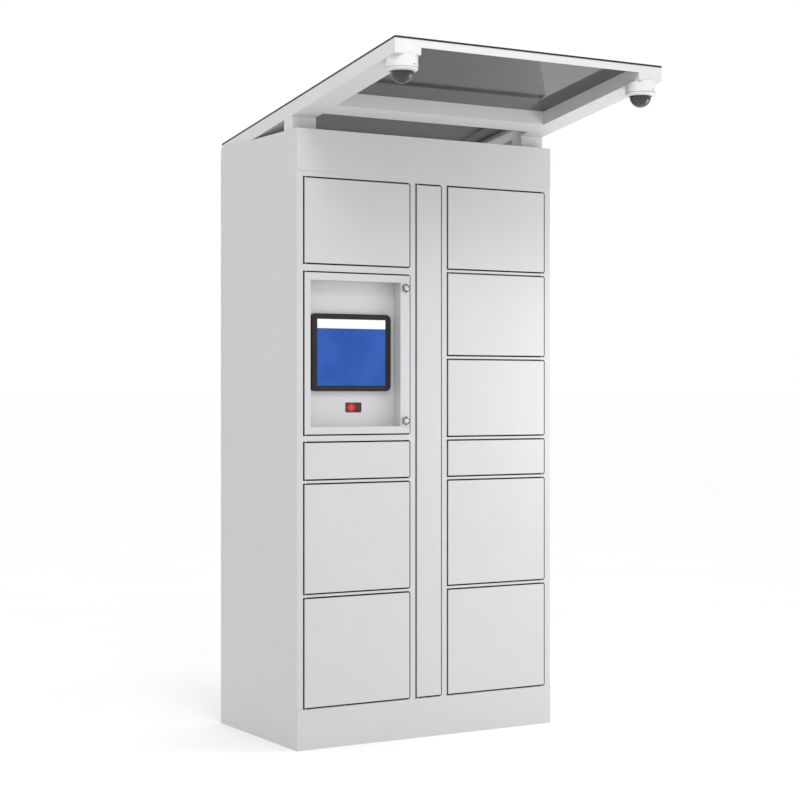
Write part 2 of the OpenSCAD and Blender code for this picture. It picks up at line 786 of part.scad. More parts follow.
left_side_panel();
right_side_panel();
back_panel();
base_tray();
plinth();
top_deck();
door_frame();
fascia();
service_partitions();
left_shelves();
right_shelves();
hinge_pins();
lock_bodies();
controller_box();
power_supply();
cable_gland();
roof_posts();
roof_side_rails();
roof_cross_members();
roof_front_beam();
roof_sheet();
canopy_bolts();
camera_bodies();
camera_trim_rings();
camera_domes();
left_camera_yoke();
left_camera_eye();
right_camera_yoke();
right_camera_eye();
terminal_door();
display_housing();
display_screen();
scanner_module();
scanner_window();
lock_collars();
upper_cam_lock();
lower_cam_lock();
service_door();
left_door(0);  // left_door_1
left_door(1);  // left_door_2
left_door(2);  // left_door_3
left_door(3);  // left_door_4
right_door(0);  // right_door_1
right_door(1);  // right_door_2
right_door(2);  // right_door_3
right_door(3);  // right_door_4
right_door(4);  // right_door_5
right_door(5);  // right_door_6
lock_bolt(-1, left_cells[0]);  // left_bolt_1
lock_bolt(-1, left_cells[1]);  // left_bolt_2
lock_bolt(-1, left_cells[2]);  // left_bolt_3
lock_bolt(-1, left_cells[3]);  // left_bolt_4
lock_bolt(1, right_cells[0]);  // right_bolt_1
lock_bolt(1, right_cells[1]);  // right_bolt_2
lock_bolt(1, right_cells[2]);  // right_bolt_3
lock_bolt(1, right_cells[3]);  // right_bolt_4
lock_bolt(1, right_cells[4]);  // right_bolt_5
lock_bolt(1, right_cells[5]);  // right_bolt_6
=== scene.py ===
"""Visual model of a parcel locker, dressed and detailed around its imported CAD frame."""

import json
import logging
import math
from dataclasses import dataclass
from enum import Enum
from typing import ClassVar, Iterable, Mapping, Sequence, Union

import bmesh
import bpy
from mathutils import Matrix, Vector


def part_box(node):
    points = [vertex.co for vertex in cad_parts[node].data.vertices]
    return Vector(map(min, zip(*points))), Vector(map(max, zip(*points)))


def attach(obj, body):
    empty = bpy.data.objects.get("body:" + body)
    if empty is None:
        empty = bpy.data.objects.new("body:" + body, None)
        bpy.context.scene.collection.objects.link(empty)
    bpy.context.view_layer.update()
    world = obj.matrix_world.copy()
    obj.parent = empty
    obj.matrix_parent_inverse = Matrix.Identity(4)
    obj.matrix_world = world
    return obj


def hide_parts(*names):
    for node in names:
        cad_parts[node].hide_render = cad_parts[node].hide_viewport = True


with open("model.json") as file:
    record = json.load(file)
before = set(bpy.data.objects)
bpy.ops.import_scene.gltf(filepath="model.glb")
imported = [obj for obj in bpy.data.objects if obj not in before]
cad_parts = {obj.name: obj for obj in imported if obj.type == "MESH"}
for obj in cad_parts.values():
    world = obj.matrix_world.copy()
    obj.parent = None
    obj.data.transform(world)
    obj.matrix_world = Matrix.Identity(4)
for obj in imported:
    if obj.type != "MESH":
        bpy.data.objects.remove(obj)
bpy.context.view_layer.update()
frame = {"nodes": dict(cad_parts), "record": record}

LOG = logging.getLogger("parcel_locker")

Colour = tuple[float, float, float, float]
Point = tuple[float, float]
Triple = tuple[float, float, float]
Value = Union["Socket", float]
Setting = Union[str, int, float, bool]
Feed = Union["Socket", float, Colour, Triple]
Input = Union[int, str]
Layer = tuple["Rect", "Corners", float]

WELD_REACH = 0.00001
SHARP_DEG = 40
DOOR_THICK = 0.012


def srgb(red: int, green: int, blue: int) -> Colour:
    """Turns a display colour into a linear one.

    Args:
        red: Red from 0 to 255.
        green: Green from 0 to 255.
        blue: Blue from 0 to 255.

    Returns:
        The linear colour with full alpha.
    """
    def linear(level: int) -> float:
        """Linear value of one display level."""
        share = level / 255
        return share / 12.92 if share <= 0.04045 else ((share + 0.055) / 1.055) ** 2.4

    return (linear(red), linear(green), linear(blue), 1.0)


def grey(level: int) -> Colour:
    """Linear colour of a neutral display grey from 0 to 255."""
    return srgb(level, level, level)


# ---------------------------------------------------------------- shader building


class Socket:
    """A node's output that takes part in Python arithmetic."""

    def __init__(self, graph: "Graph", port: bpy.types.NodeSocket) -> None:
        """Wraps one output.

        Args:
            graph: The graph that the output belongs to.
            port: The output itself.
        """
        self.graph = graph
        self.port = port

    def _maths(self, operation: str, first: Value, second: Value) -> "Socket":
        """Adds a Math node.

        Args:
            operation: The node's operation.
            first: The first operand.
            second: The second operand.

        Returns:
            The node's result.
        """
        return self.graph.node("ShaderNodeMath", {"operation": operation}, {0: first, 1: second})

    def __add__(self, other: Value) -> "Socket":
        """Sum with a value or another socket."""
        return self._maths("ADD", self, other)

    def __radd__(self, other: Value) -> "Socket":
        """Sum with a value on the left."""
        return self._maths("ADD", other, self)

    def __sub__(self, other: Value) -> "Socket":
        """Difference from a value or another socket."""
        return self._maths("SUBTRACT", self, other)

    def __rsub__(self, other: Value) -> "Socket":
        """Difference of a value and this socket."""
        return self._maths("SUBTRACT", other, self)

    def __mul__(self, other: Value) -> "Socket":
        """Product with a value or another socket."""
        return self._maths("MULTIPLY", self, other)

    def __rmul__(self, other: Value) -> "Socket":
        """Product with a value on the left."""
        return self._maths("MULTIPLY", other, self)

    def __abs__(self) -> "Socket":
        """Size of this socket's value."""
        return self._maths("ABSOLUTE", self, 0.0)

    def span(self, low: float, high: float) -> "Socket":
        """Eases from 0 at low to 1 at high.

        Args:
            low: The value that gives 0.
            high: The value that gives 1.

        Returns:
            The eased share.
        """
        return self.graph.node(
            "ShaderNodeMapRange",
            {"interpolation_type": "SMOOTHSTEP", "clamp": True},
            {"Value": self, "From Min": low, "From Max": high},
        )


class Graph:
    """The node graph of one material."""

    MIX_FACTOR = 0
    MIX_FIRST = 6
    MIX_SECOND = 7
    MIX_RESULT = 2
    EDGE_FROM = 0.005
    EDGE_TO = 0.12

    def __init__(self, name: str) -> None:
        """Starts an empty material.

        Args:
            name: The material's name.
        """
        self.material = bpy.data.materials.new(name)
        self.material.use_nodes = True
        self.tree = self.material.node_tree
        self.tree.nodes.clear()

    def _add(
        self, kind: str, settings: Mapping[str, Setting] | None, feeds: Mapping[Input, Feed] | None
    ) -> bpy.types.Node:
        """Adds any node: its settings first, then its sockets.

        Args:
            kind: The node's type.
            settings: The node's own properties.
            feeds: A value or a link for each socket named.

        Returns:
            The node.
        """
        made = self.tree.nodes.new(kind)
        for key, setting in (settings or {}).items():
            setattr(made, key, setting)
        for key, feed in (feeds or {}).items():
            if isinstance(feed, Socket):
                self.tree.links.new(feed.port, made.inputs[key])
            else:
                made.inputs[key].default_value = feed
        return made

    def node(
        self,
        kind: str,
        settings: Mapping[str, Setting] | None = None,
        feeds: Mapping[Input, Feed] | None = None,
        out: Input = 0,
    ) -> Socket:
        """Adds a node and hands back one of its outputs.

        Args:
            kind: The node's type.
            settings: The node's own properties.
            feeds: A value or a link for each socket named.
            out: The output that is handed back.

        Returns:
            The chosen output.
        """
        return Socket(self, self._add(kind, settings, feeds).outputs[out])

    def place(self) -> Socket:
        """Position on the piece, in metres."""
        return self.node("ShaderNodeTexCoord", out="Object")

    def part_of(self, place: Socket, axis: str) -> Socket:
        """One coordinate of a position.

        Args:
            place: The position.
            axis: X, Y or Z.

        Returns:
            The coordinate in metres.
        """
        return self.node("ShaderNodeSeparateXYZ", feeds={0: place}, out=axis)

    def stretched(self, place: Socket, scale: tuple[float, float, float]) -> Socket:
        """A position scaled differently along each axis.

        Args:
            place: The position.
            scale: The factor along each axis.

        Returns:
            The scaled position.
        """
        return self.node("ShaderNodeVectorMath", {"operation": "MULTIPLY"}, {0: place, 1: scale})

    def noise(self, place: Socket, scale: float, detail: float = 2.0, rough: float = 0.5) -> Socket:
        """Cloudy noise about 0.5.

        Args:
            place: The position.
            scale: Features per metre.
            detail: Octaves.
            rough: Weight of the finer octaves.

        Returns:
            The noise value.
        """
        feeds = {"Vector": place, "Scale": scale, "Detail": detail, "Roughness": rough}
        return self.node("ShaderNodeTexNoise", None, feeds)

    def cells(self, place: Socket, scale: float) -> Socket:
        """Distance to the nearest of scattered points.

        Args:
            place: The position.
            scale: Points per metre.

        Returns:
            The distance in cells.
        """
        return self.node("ShaderNodeTexVoronoi", None, {"Vector": place, "Scale": scale})

    def mix(self, first: Feed, second: Feed, factor: Value) -> Socket:
        """Blend of two colours.

        Args:
            first: The colour at factor 0.
            second: The colour at factor 1.
            factor: The share of the second.

        Returns:
            The blended colour.
        """
        feeds = {self.MIX_FACTOR: factor, self.MIX_FIRST: first, self.MIX_SECOND: second}
        return self.node("ShaderNodeMix", {"data_type": "RGBA"}, feeds, out=self.MIX_RESULT)

    def edges(self, radius: float) -> Socket:
        """Mask of the piece's edges.

        Args:
            radius: How far the mask reaches from an edge, in metres.

        Returns:
            1 along edges, 0 on flat stretches.
        """
        rounded = self.node("ShaderNodeBevel", {"samples": 4}, {"Radius": radius})
        flat = self.node("ShaderNodeNewGeometry", out="Normal")
        along = self.node(
            "ShaderNodeVectorMath", {"operation": "DOT_PRODUCT"}, {0: rounded, 1: flat}, out="Value")
        return (1.0 - along).span(self.EDGE_FROM, self.EDGE_TO)

    def bump(self, height: Socket, depth: float, strength: float = 1.0) -> Socket:
        """Bumps the surface.

        Args:
            height: The height from 0 to 1.
            depth: The height of 1, in metres.
            strength: How much of the bump is used.

        Returns:
            The bumped normal.
        """
        return self.node("ShaderNodeBump", None, {"Height": height, "Distance": depth, "Strength": strength})

    def surface(self, feeds: Mapping[str, Feed]) -> bpy.types.Material:
        """Closes the graph with a surface shader.

        Args:
            feeds: The shader's sockets.

        Returns:
            The finished material.
        """
        shader = self.node("ShaderNodeBsdfPrincipled", None, feeds)
        self._add("ShaderNodeOutputMaterial", None, {"Surface": shader})
        return self.material


# ---------------------------------------------------------------- finishes


@dataclass(frozen=True)
class PowderCoat:
    """Baked powder coating: faint orange peel, soft mottling, and lighter edges that are part wear and part
    painted highlight.
    """

    name: str
    tone: Colour
    deep: Colour
    wear_highlight_tone: Colour
    roughness: float = 0.4
    drift_scale: float = 2.2
    cloud_scale: float = 16.0
    rub_scale: float = 55.0
    peel_scale: float = 520.0
    speck_scale: float = 1900.0
    peel_depth: float = 0.00012
    edge_reach: float = 0.0014
    edge_share: float = 0.55
    low_darken_height: float = 0.0
    low_smear_scale: float = 9.0

    def material(self) -> bpy.types.Material:
        """Builds the coating.

        Returns:
            The material.
        """
        graph = Graph(self.name)
        place = graph.place()
        drift = graph.noise(graph.stretched(place, (1.0, 1.0, 0.45)), self.drift_scale, 3.0)
        cloud = graph.noise(place, self.cloud_scale, 4.0, 0.55)
        peel = graph.noise(place, self.peel_scale, 2.0)
        speck = graph.noise(place, self.speck_scale, 1.0)
        blotch = (drift - 0.5) * 1.1 + (cloud - 0.5) * 0.5 + (speck - 0.5) * 0.35 + 0.5
        colour = graph.mix(self.deep, self.tone, blotch.span(0.1, 0.9))
        # Lighter edges: part rubbed wear, part painted highlight along the edges and beside the door gaps.
        rub = graph.noise(place, self.rub_scale, 4.0, 0.65).span(0.38, 0.62)
        edge = graph.edges(self.edge_reach)
        wear_and_highlight = edge * (rub * 0.5 + 0.5) * self.edge_share
        colour = graph.mix(colour, self.wear_highlight_tone, wear_and_highlight)
        # Darker towards the bottom, in a smeared band up to the set height.
        if self.low_darken_height > 0:
            low = 1.0 - graph.part_of(place, "Z").span(0.0, self.low_darken_height)
            smear = graph.noise(graph.stretched(place, (1.0, 1.0, 3.0)), self.low_smear_scale, 4.0)
            colour = graph.mix(colour, self.deep, low * smear * 0.7)
        gloss = (cloud - 0.5) * 0.12 + (rub - 0.5) * 0.03 + wear_and_highlight * 0.08 + self.roughness
        return graph.surface({
            "Base Color": colour,
            "Roughness": gloss,
            "Normal": graph.bump(peel, self.peel_depth, 0.35),
            "Specular IOR Level": 0.5,
        })


@dataclass(frozen=True)
class GlossSheet:
    """Dark coil-coated sheet: deep gloss with faint haze, rolling waves, pale scratches and a painted
    highlight along its edges.
    """

    name: str
    tone: Colour
    haze_and_highlight: Colour
    roughness: float = 0.07
    film_scale: float = 4.5
    wave_scale: float = 7.0
    wave_depth: float = 0.0006
    scratch_scale: float = 18.0
    edge_reach: float = 0.001

    def material(self) -> bpy.types.Material:
        """Builds the coating.

        Returns:
            The material.
        """
        graph = Graph(self.name)
        place = graph.place()
        film = graph.noise(place, self.film_scale, 4.0, 0.6)
        rolling = graph.noise(graph.stretched(place, (0.25, 1.0, 1.0)), self.wave_scale, 1.0)
        streak = graph.stretched(place, (1.0, 60.0, 1.0))
        scratch = graph.noise(streak, self.scratch_scale, 2.0).span(0.66, 0.74)
        edge = graph.edges(self.edge_reach)
        colour = graph.mix(self.tone, self.haze_and_highlight, film.span(0.35, 0.8) * 0.5 + scratch * 0.15)
        # Painted highlight: the edges are lightened towards the pale tone.
        colour = graph.mix(colour, self.haze_and_highlight, edge * 0.5)
        return graph.surface({
            "Base Color": colour,
            "Roughness": (film - 0.5) * 0.05 + scratch * 0.08 + self.roughness,
            "Normal": graph.bump(rolling, self.wave_depth, 0.25),
            "Specular IOR Level": 0.86,
        })


@dataclass(frozen=True)
class PlatedSteel:
    """Plated or zinc-coated steel: metallic, with crystals, fine lines and rubbed edges."""

    name: str
    tone: Colour
    deep: Colour
    roughness: float
    crystal_scale: float
    crystal_share: float
    smudge_scale: float = 60.0
    line_scale: float = 900.0
    line_depth: float = 0.00002
    edge_reach: float = 0.0006

    def material(self) -> bpy.types.Material:
        """Builds the plating.

        Returns:
            The material.
        """
        graph = Graph(self.name)
        place = graph.place()
        crystal = graph.cells(place, self.crystal_scale)
        smudge = graph.noise(place, self.smudge_scale, 3.0)
        lines = graph.noise(graph.stretched(place, (1.0, 0.08, 0.5)), self.line_scale, 2.0)
        edge = graph.edges(self.edge_reach)
        dull = crystal * self.crystal_share + smudge * 0.3
        colour = graph.mix(self.tone, self.deep, dull.span(0.1, 0.9))
        colour = graph.mix(colour, self.tone, edge * 0.7)
        return graph.surface({
            "Base Color": colour,
            "Metallic": 1.0 - smudge.span(0.6, 0.9) * 0.1,
            "Roughness": (smudge - 0.5) * 0.12 + crystal * 0.05 + self.roughness,
            "Normal": graph.bump(lines, self.line_depth, 0.3),
        })


@dataclass(frozen=True)
class MouldedPlastic:
    """Moulded plastic with a fine spark-eroded grain, light mottling and a painted highlight along its edges.
    """

    name: str
    tone: Colour
    mottle_and_highlight: Colour
    roughness: float
    touch_scale: float = 9.0
    cloud_scale: float = 30.0
    grain_scale: float = 1400.0
    grain_depth: float = 0.00006
    shine: float = 0.5
    edge_reach: float = 0.001

    def material(self) -> bpy.types.Material:
        """Builds the plastic.

        Returns:
            The material.
        """
        graph = Graph(self.name)
        place = graph.place()
        grain = graph.cells(place, self.grain_scale)
        cloud = graph.noise(place, self.cloud_scale, 3.0)
        touch = graph.noise(place, self.touch_scale, 4.0, 0.6).span(0.45, 0.75)
        edge = graph.edges(self.edge_reach)
        # The cloud share is mottling of the plastic; the edge share is a painted highlight.
        colour = graph.mix(self.tone, self.mottle_and_highlight, cloud.span(0.2, 0.9) * 0.3 + edge * 0.5)
        return graph.surface({
            "Base Color": colour,
            "Roughness": (cloud - 0.5) * 0.1 - touch * 0.08 + self.roughness,
            "Normal": graph.bump(grain, self.grain_depth, 0.4),
            "Specular IOR Level": self.shine,
        })


@dataclass(frozen=True)
class LitScreen:
    """A touch display that is switched on: a white header over a blue field with soft blotches."""

    name: str
    header: Colour
    field_tone: Colour
    field_light: Colour
    header_z: float
    glow: float = 1.0
    blotch_scale: float = 8.0
    grid_scale: float = 2600.0
    smear_scale: float = 22.0
    header_blur: float = 0.0006

    def material(self) -> bpy.types.Material:
        """Builds the lit glass.

        Returns:
            The material.
        """
        graph = Graph(self.name)
        place = graph.place()
        height = graph.part_of(place, "Z")
        blotch = graph.noise(place, self.blotch_scale, 2.0, 0.4).span(0.35, 0.7)
        grid = graph.noise(place, self.grid_scale, 0.0)
        picture = graph.mix(self.field_tone, self.field_light, blotch * 0.75 + (grid - 0.5) * 0.06)
        top = height.span(self.header_z - self.header_blur, self.header_z + self.header_blur)
        picture = graph.mix(picture, self.header, top)
        smear = graph.noise(graph.stretched(place, (2.0, 1.0, 0.7)), self.smear_scale, 4.0, 0.6)
        return graph.surface({
            "Base Color": graph.mix(grey(6), grey(20), smear.span(0.3, 0.8)),
            "Roughness": (smear - 0.5) * 0.08 + 0.14,
            "Normal": graph.bump(grid, 0.000004, 0.2),
            "Specular IOR Level": 0.15,
            "Emission Color": picture,
            "Emission Strength": self.glow,
        })


@dataclass(frozen=True)
class ScanGlass:
    """Deep red scanner glass, lit brighter where the light line stands behind it."""

    name: str
    lit: Colour
    dark: Colour
    hot_x: float
    hot_z: float
    reach: float
    glow: float = 0.8
    ripple_scale: float = 320.0

    def material(self) -> bpy.types.Material:
        """Builds the glass.

        Returns:
            The material.
        """
        graph = Graph(self.name)
        place = graph.place()
        across = abs(graph.part_of(place, "X") - self.hot_x)
        height = abs(graph.part_of(place, "Z") - self.hot_z)
        ripple = graph.noise(place, self.ripple_scale, 2.0)
        far = (across + height * 0.8) * (1 / self.reach) + (ripple - 0.5) * 0.25
        light = graph.mix(self.lit, self.dark, far.span(0.15, 1.0))
        return graph.surface({
            "Base Color": graph.mix(self.dark, grey(10), ripple.span(0.2, 0.9)),
            "Roughness": ripple * 0.06 + 0.09,
            "Normal": graph.bump(ripple, 0.00001, 0.2),
            "Emission Color": light,
            "Emission Strength": self.glow,
        })


@dataclass(frozen=True)
class TintedShell:
    """Smoked clear plastic of a camera dome, with a thin film of dust."""

    name: str
    tone: Colour
    dusty: Colour
    clarity: float = 0.86
    bend: float = 1.46
    film_scale: float = 45.0
    fleck_scale: float = 900.0

    def material(self) -> bpy.types.Material:
        """Builds the plastic.

        Returns:
            The material.
        """
        graph = Graph(self.name)
        place = graph.place()
        film = graph.noise(place, self.film_scale, 4.0, 0.6)
        fleck = graph.noise(place, self.fleck_scale, 1.0).span(0.7, 0.78)
        return graph.surface({
            "Base Color": graph.mix(self.tone, self.dusty, film.span(0.4, 0.9) * 0.35 + fleck * 0.3),
            "Roughness": film * 0.03 + fleck * 0.1 + 0.015,
            "Normal": graph.bump(film, 0.00002, 0.15),
            "Transmission Weight": self.clarity,
            "IOR": self.bend,
        })


@dataclass(frozen=True)
class PaleFloor:
    """A plain matt floor, off white with the slightest variation."""

    name: str
    tone: Colour
    deep: Colour
    cloud_scale: float = 1.2
    grain_scale: float = 240.0

    def material(self) -> bpy.types.Material:
        """Builds the floor's finish.

        Returns:
            The material.
        """
        graph = Graph(self.name)
        place = graph.place()
        cloud = graph.noise(place, self.cloud_scale, 3.0)
        grain = graph.noise(place, self.grain_scale, 2.0)
        return graph.surface({
            "Base Color": graph.mix(self.deep, self.tone, cloud.span(0.2, 0.7)),
            "Roughness": cloud * 0.1 + 0.75,
            "Normal": graph.bump(grain, 0.0002, 0.1),
            "Specular IOR Level": 0.1,
        })


class Slot(Enum):
    """The record's material slots."""

    PANEL = "panel_paint"
    DOOR = "door_paint"
    INNER = "inner_steel"
    CANOPY = "canopy_paint"
    ROOF = "roof_panel"
    BRIGHT = "bright_steel"
    HINGE = "hinge_steel"
    BEZEL = "bezel_plastic"
    SCREEN = "screen_glass"
    SCANNER = "scanner_red"
    MODULE = "module_plastic"
    CAMERA = "camera_white"
    LENS = "camera_black"
    DOME = "dome_tint"


class Paintshop:
    """Makes each finish once and hands it out by slot."""

    HEADER_TALL = 0.030
    LIT_SHARE = 0.36
    GLOW_SHARE = 0.42

    def __init__(self) -> None:
        """Builds every material that the locker uses."""
        screen = Box.of("display_screen")
        scan = Box.of("scanner_window")
        finishes = {
            Slot.PANEL: PowderCoat(
                "panel_powder", srgb(195, 195, 197), srgb(191, 191, 193), srgb(222, 222, 224),
                low_darken_height=0.22),
            Slot.DOOR: PowderCoat(
                "door_powder", srgb(195, 195, 197), srgb(192, 192, 194), srgb(224, 224, 226), roughness=0.36),
            Slot.INNER: PowderCoat(
                "inner_powder", grey(178), grey(168), grey(206), roughness=0.55, edge_share=0.35),
            Slot.CANOPY: PowderCoat("canopy_powder", grey(204), grey(199), grey(230)),
            Slot.ROOF: GlossSheet("roof_gloss", grey(39), grey(60)),
            Slot.BRIGHT: PlatedSteel("bright_plating", grey(214), grey(160), 0.17, 700.0, 0.15),
            Slot.HINGE: PlatedSteel("zinc_plating", srgb(192, 194, 196), grey(150), 0.34, 420.0, 0.6),
            Slot.BEZEL: MouldedPlastic("bezel_plastic", grey(16), grey(52), 0.5, shine=0.3),
            Slot.SCREEN: LitScreen(
                "lit_screen", grey(254), srgb(34, 84, 170), srgb(50, 98, 186),
                screen.high.z - self.HEADER_TALL),
            Slot.SCANNER: ScanGlass(
                "scan_glass", srgb(255, 40, 36), srgb(66, 10, 18),
                scan.low.x + scan.size.x * self.LIT_SHARE, scan.middle.z, scan.size.x * self.GLOW_SHARE),
            Slot.MODULE: MouldedPlastic("module_plastic", grey(34), grey(76), 0.55),
            Slot.CAMERA: MouldedPlastic("camera_plastic", grey(206), grey(222), 0.3, grain_depth=0.00002),
            Slot.LENS: MouldedPlastic("lens_plastic", grey(14), grey(48), 0.22, grain_depth=0.00001),
            Slot.DOME: TintedShell("smoked_dome", grey(120), grey(150)),
        }
        self.made = {slot: finish.material() for slot, finish in finishes.items()}

    def __getitem__(self, slot: Slot) -> bpy.types.Material:
        """The material of a slot."""
        return self.made[slot]


# ---------------------------------------------------------------- mesh building


@dataclass(frozen=True)
class Box:
    """The space that a CAD node fills at rest, in metres."""

    low: Vector
    high: Vector

    @classmethod
    def of(cls, node: str) -> "Box":
        """The box of one node.

        Args:
            node: The node's name.

        Returns:
            Its box.
        """
        low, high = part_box(node)
        return cls(Vector(low), Vector(high))

    @property
    def size(self) -> Vector:
        """Width, depth and height."""
        return self.high - self.low

    @property
    def middle(self) -> Vector:
        """Centre of the box."""
        return (self.low + self.high) / 2

    @property
    def front(self) -> "Rect":
        """The box's outline seen from the front."""
        return Rect(self.low.x, self.high.x, self.low.z, self.high.z)


class Hinge(Enum):
    """The side on which a door is hung, as the way there from its free edge."""

    LEFT = -1
    RIGHT = 1


@dataclass(frozen=True)
class Corners:
    """Corner radii of an outline, on its left and on its right."""

    left: float
    right: float
    HAIR: ClassVar[float] = 0.0004

    @classmethod
    def even(cls, radius: float) -> "Corners":
        """The same radius on both sides."""
        return cls(radius, radius)

    def less(self, inset: float) -> "Corners":
        """Radii of the outline moved inwards.

        Args:
            inset: How far the outline moves in, or out if it is negative.

        Returns:
            The new radii, never under a hair.
        """
        return Corners(max(self.left - inset, self.HAIR), max(self.right - inset, self.HAIR))


@dataclass(frozen=True)
class Rect:
    """An upright rectangle seen from the front, in metres."""

    x0: float
    x1: float
    z0: float
    z1: float

    @classmethod
    def centred(cls, half_wide: float, half_high: float) -> "Rect":
        """A rectangle about the origin."""
        return cls(-half_wide, half_wide, -half_high, half_high)

    @property
    def width(self) -> float:
        """Width along X."""
        return self.x1 - self.x0

    @property
    def height(self) -> float:
        """Height along Z."""
        return self.z1 - self.z0

    def inset(self, by: float) -> "Rect":
        """The rectangle with every side moved in."""
        return Rect(self.x0 + by, self.x1 - by, self.z0 + by, self.z1 - by)

    def outline(self, corners: Corners, steps: int = 6) -> list[Point]:
        """Points round the rectangle, anticlockwise from its lower left corner.

        Args:
            corners: The corner radii.
            steps: Segments in each corner's arc.

        Returns:
            The points.
        """
        left, right = corners.left, corners.right
        arcs = (
            (self.x0 + left, self.z0 + left, left, 180),
            (self.x1 - right, self.z0 + right, right, 270),
            (self.x1 - right, self.z1 - right, right, 0),
            (self.x0 + left, self.z1 - left, left, 90),
        )
        points = []
        for cx, cz, radius, start in arcs:
            for step in range(steps + 1):
                angle = math.radians(start + 90 * step / steps)
                points.append((cx + radius * math.cos(angle), cz + radius * math.sin(angle)))
        return points


def circle(radius: float, count: int, start: float = 0.0, lead: float = 0.0) -> list[Point]:
    """Points round a circle about the origin.

    Args:
        radius: The circle's radius.
        count: How many points.
        start: Angle that the count begins from, in radians.
        lead: How far the first point lies past it, as a share of one step.

    Returns:
        The points, anticlockwise.
    """
    angles = [start + math.tau * (step + lead) / count for step in range(count)]
    return [(radius * math.cos(angle), radius * math.sin(angle)) for angle in angles]


def lifted(outline: Sequence[Point], place: Matrix, height: float) -> list[Vector]:
    """Stands an outline at a height above a placed XY plane.

    Args:
        outline: The outline's points.
        place: Where the plane's origin is and how it is turned.
        height: Height along the placed Z axis.

    Returns:
        The points in the locker's frame.
    """
    return [place @ Vector((x, y, height)) for x, y in outline]


def roll(radius: float, depth: float, steps: int = 4) -> list[Point]:
    """A quarter-round from a side wall onto a front face.

    Args:
        radius: The round's radius.
        depth: Y of the front face.
        steps: Segments in the round.

    Returns:
        Inset and depth of each ring.
    """
    turns = [math.radians(90 * step / steps) for step in range(steps + 1)]
    return [(radius * (1 - math.cos(turn)), depth + radius * (1 - math.sin(turn))) for turn in turns]


def turned(degrees: float, axis: str) -> Matrix:
    """A turn about one axis."""
    return Matrix.Rotation(math.radians(degrees), 4, axis)


def facing(x: float, y: float, z: float) -> Matrix:
    """Placement whose local +Z points out of the locker's front."""
    return Matrix.Translation((x, y, z)) @ turned(90, "X")


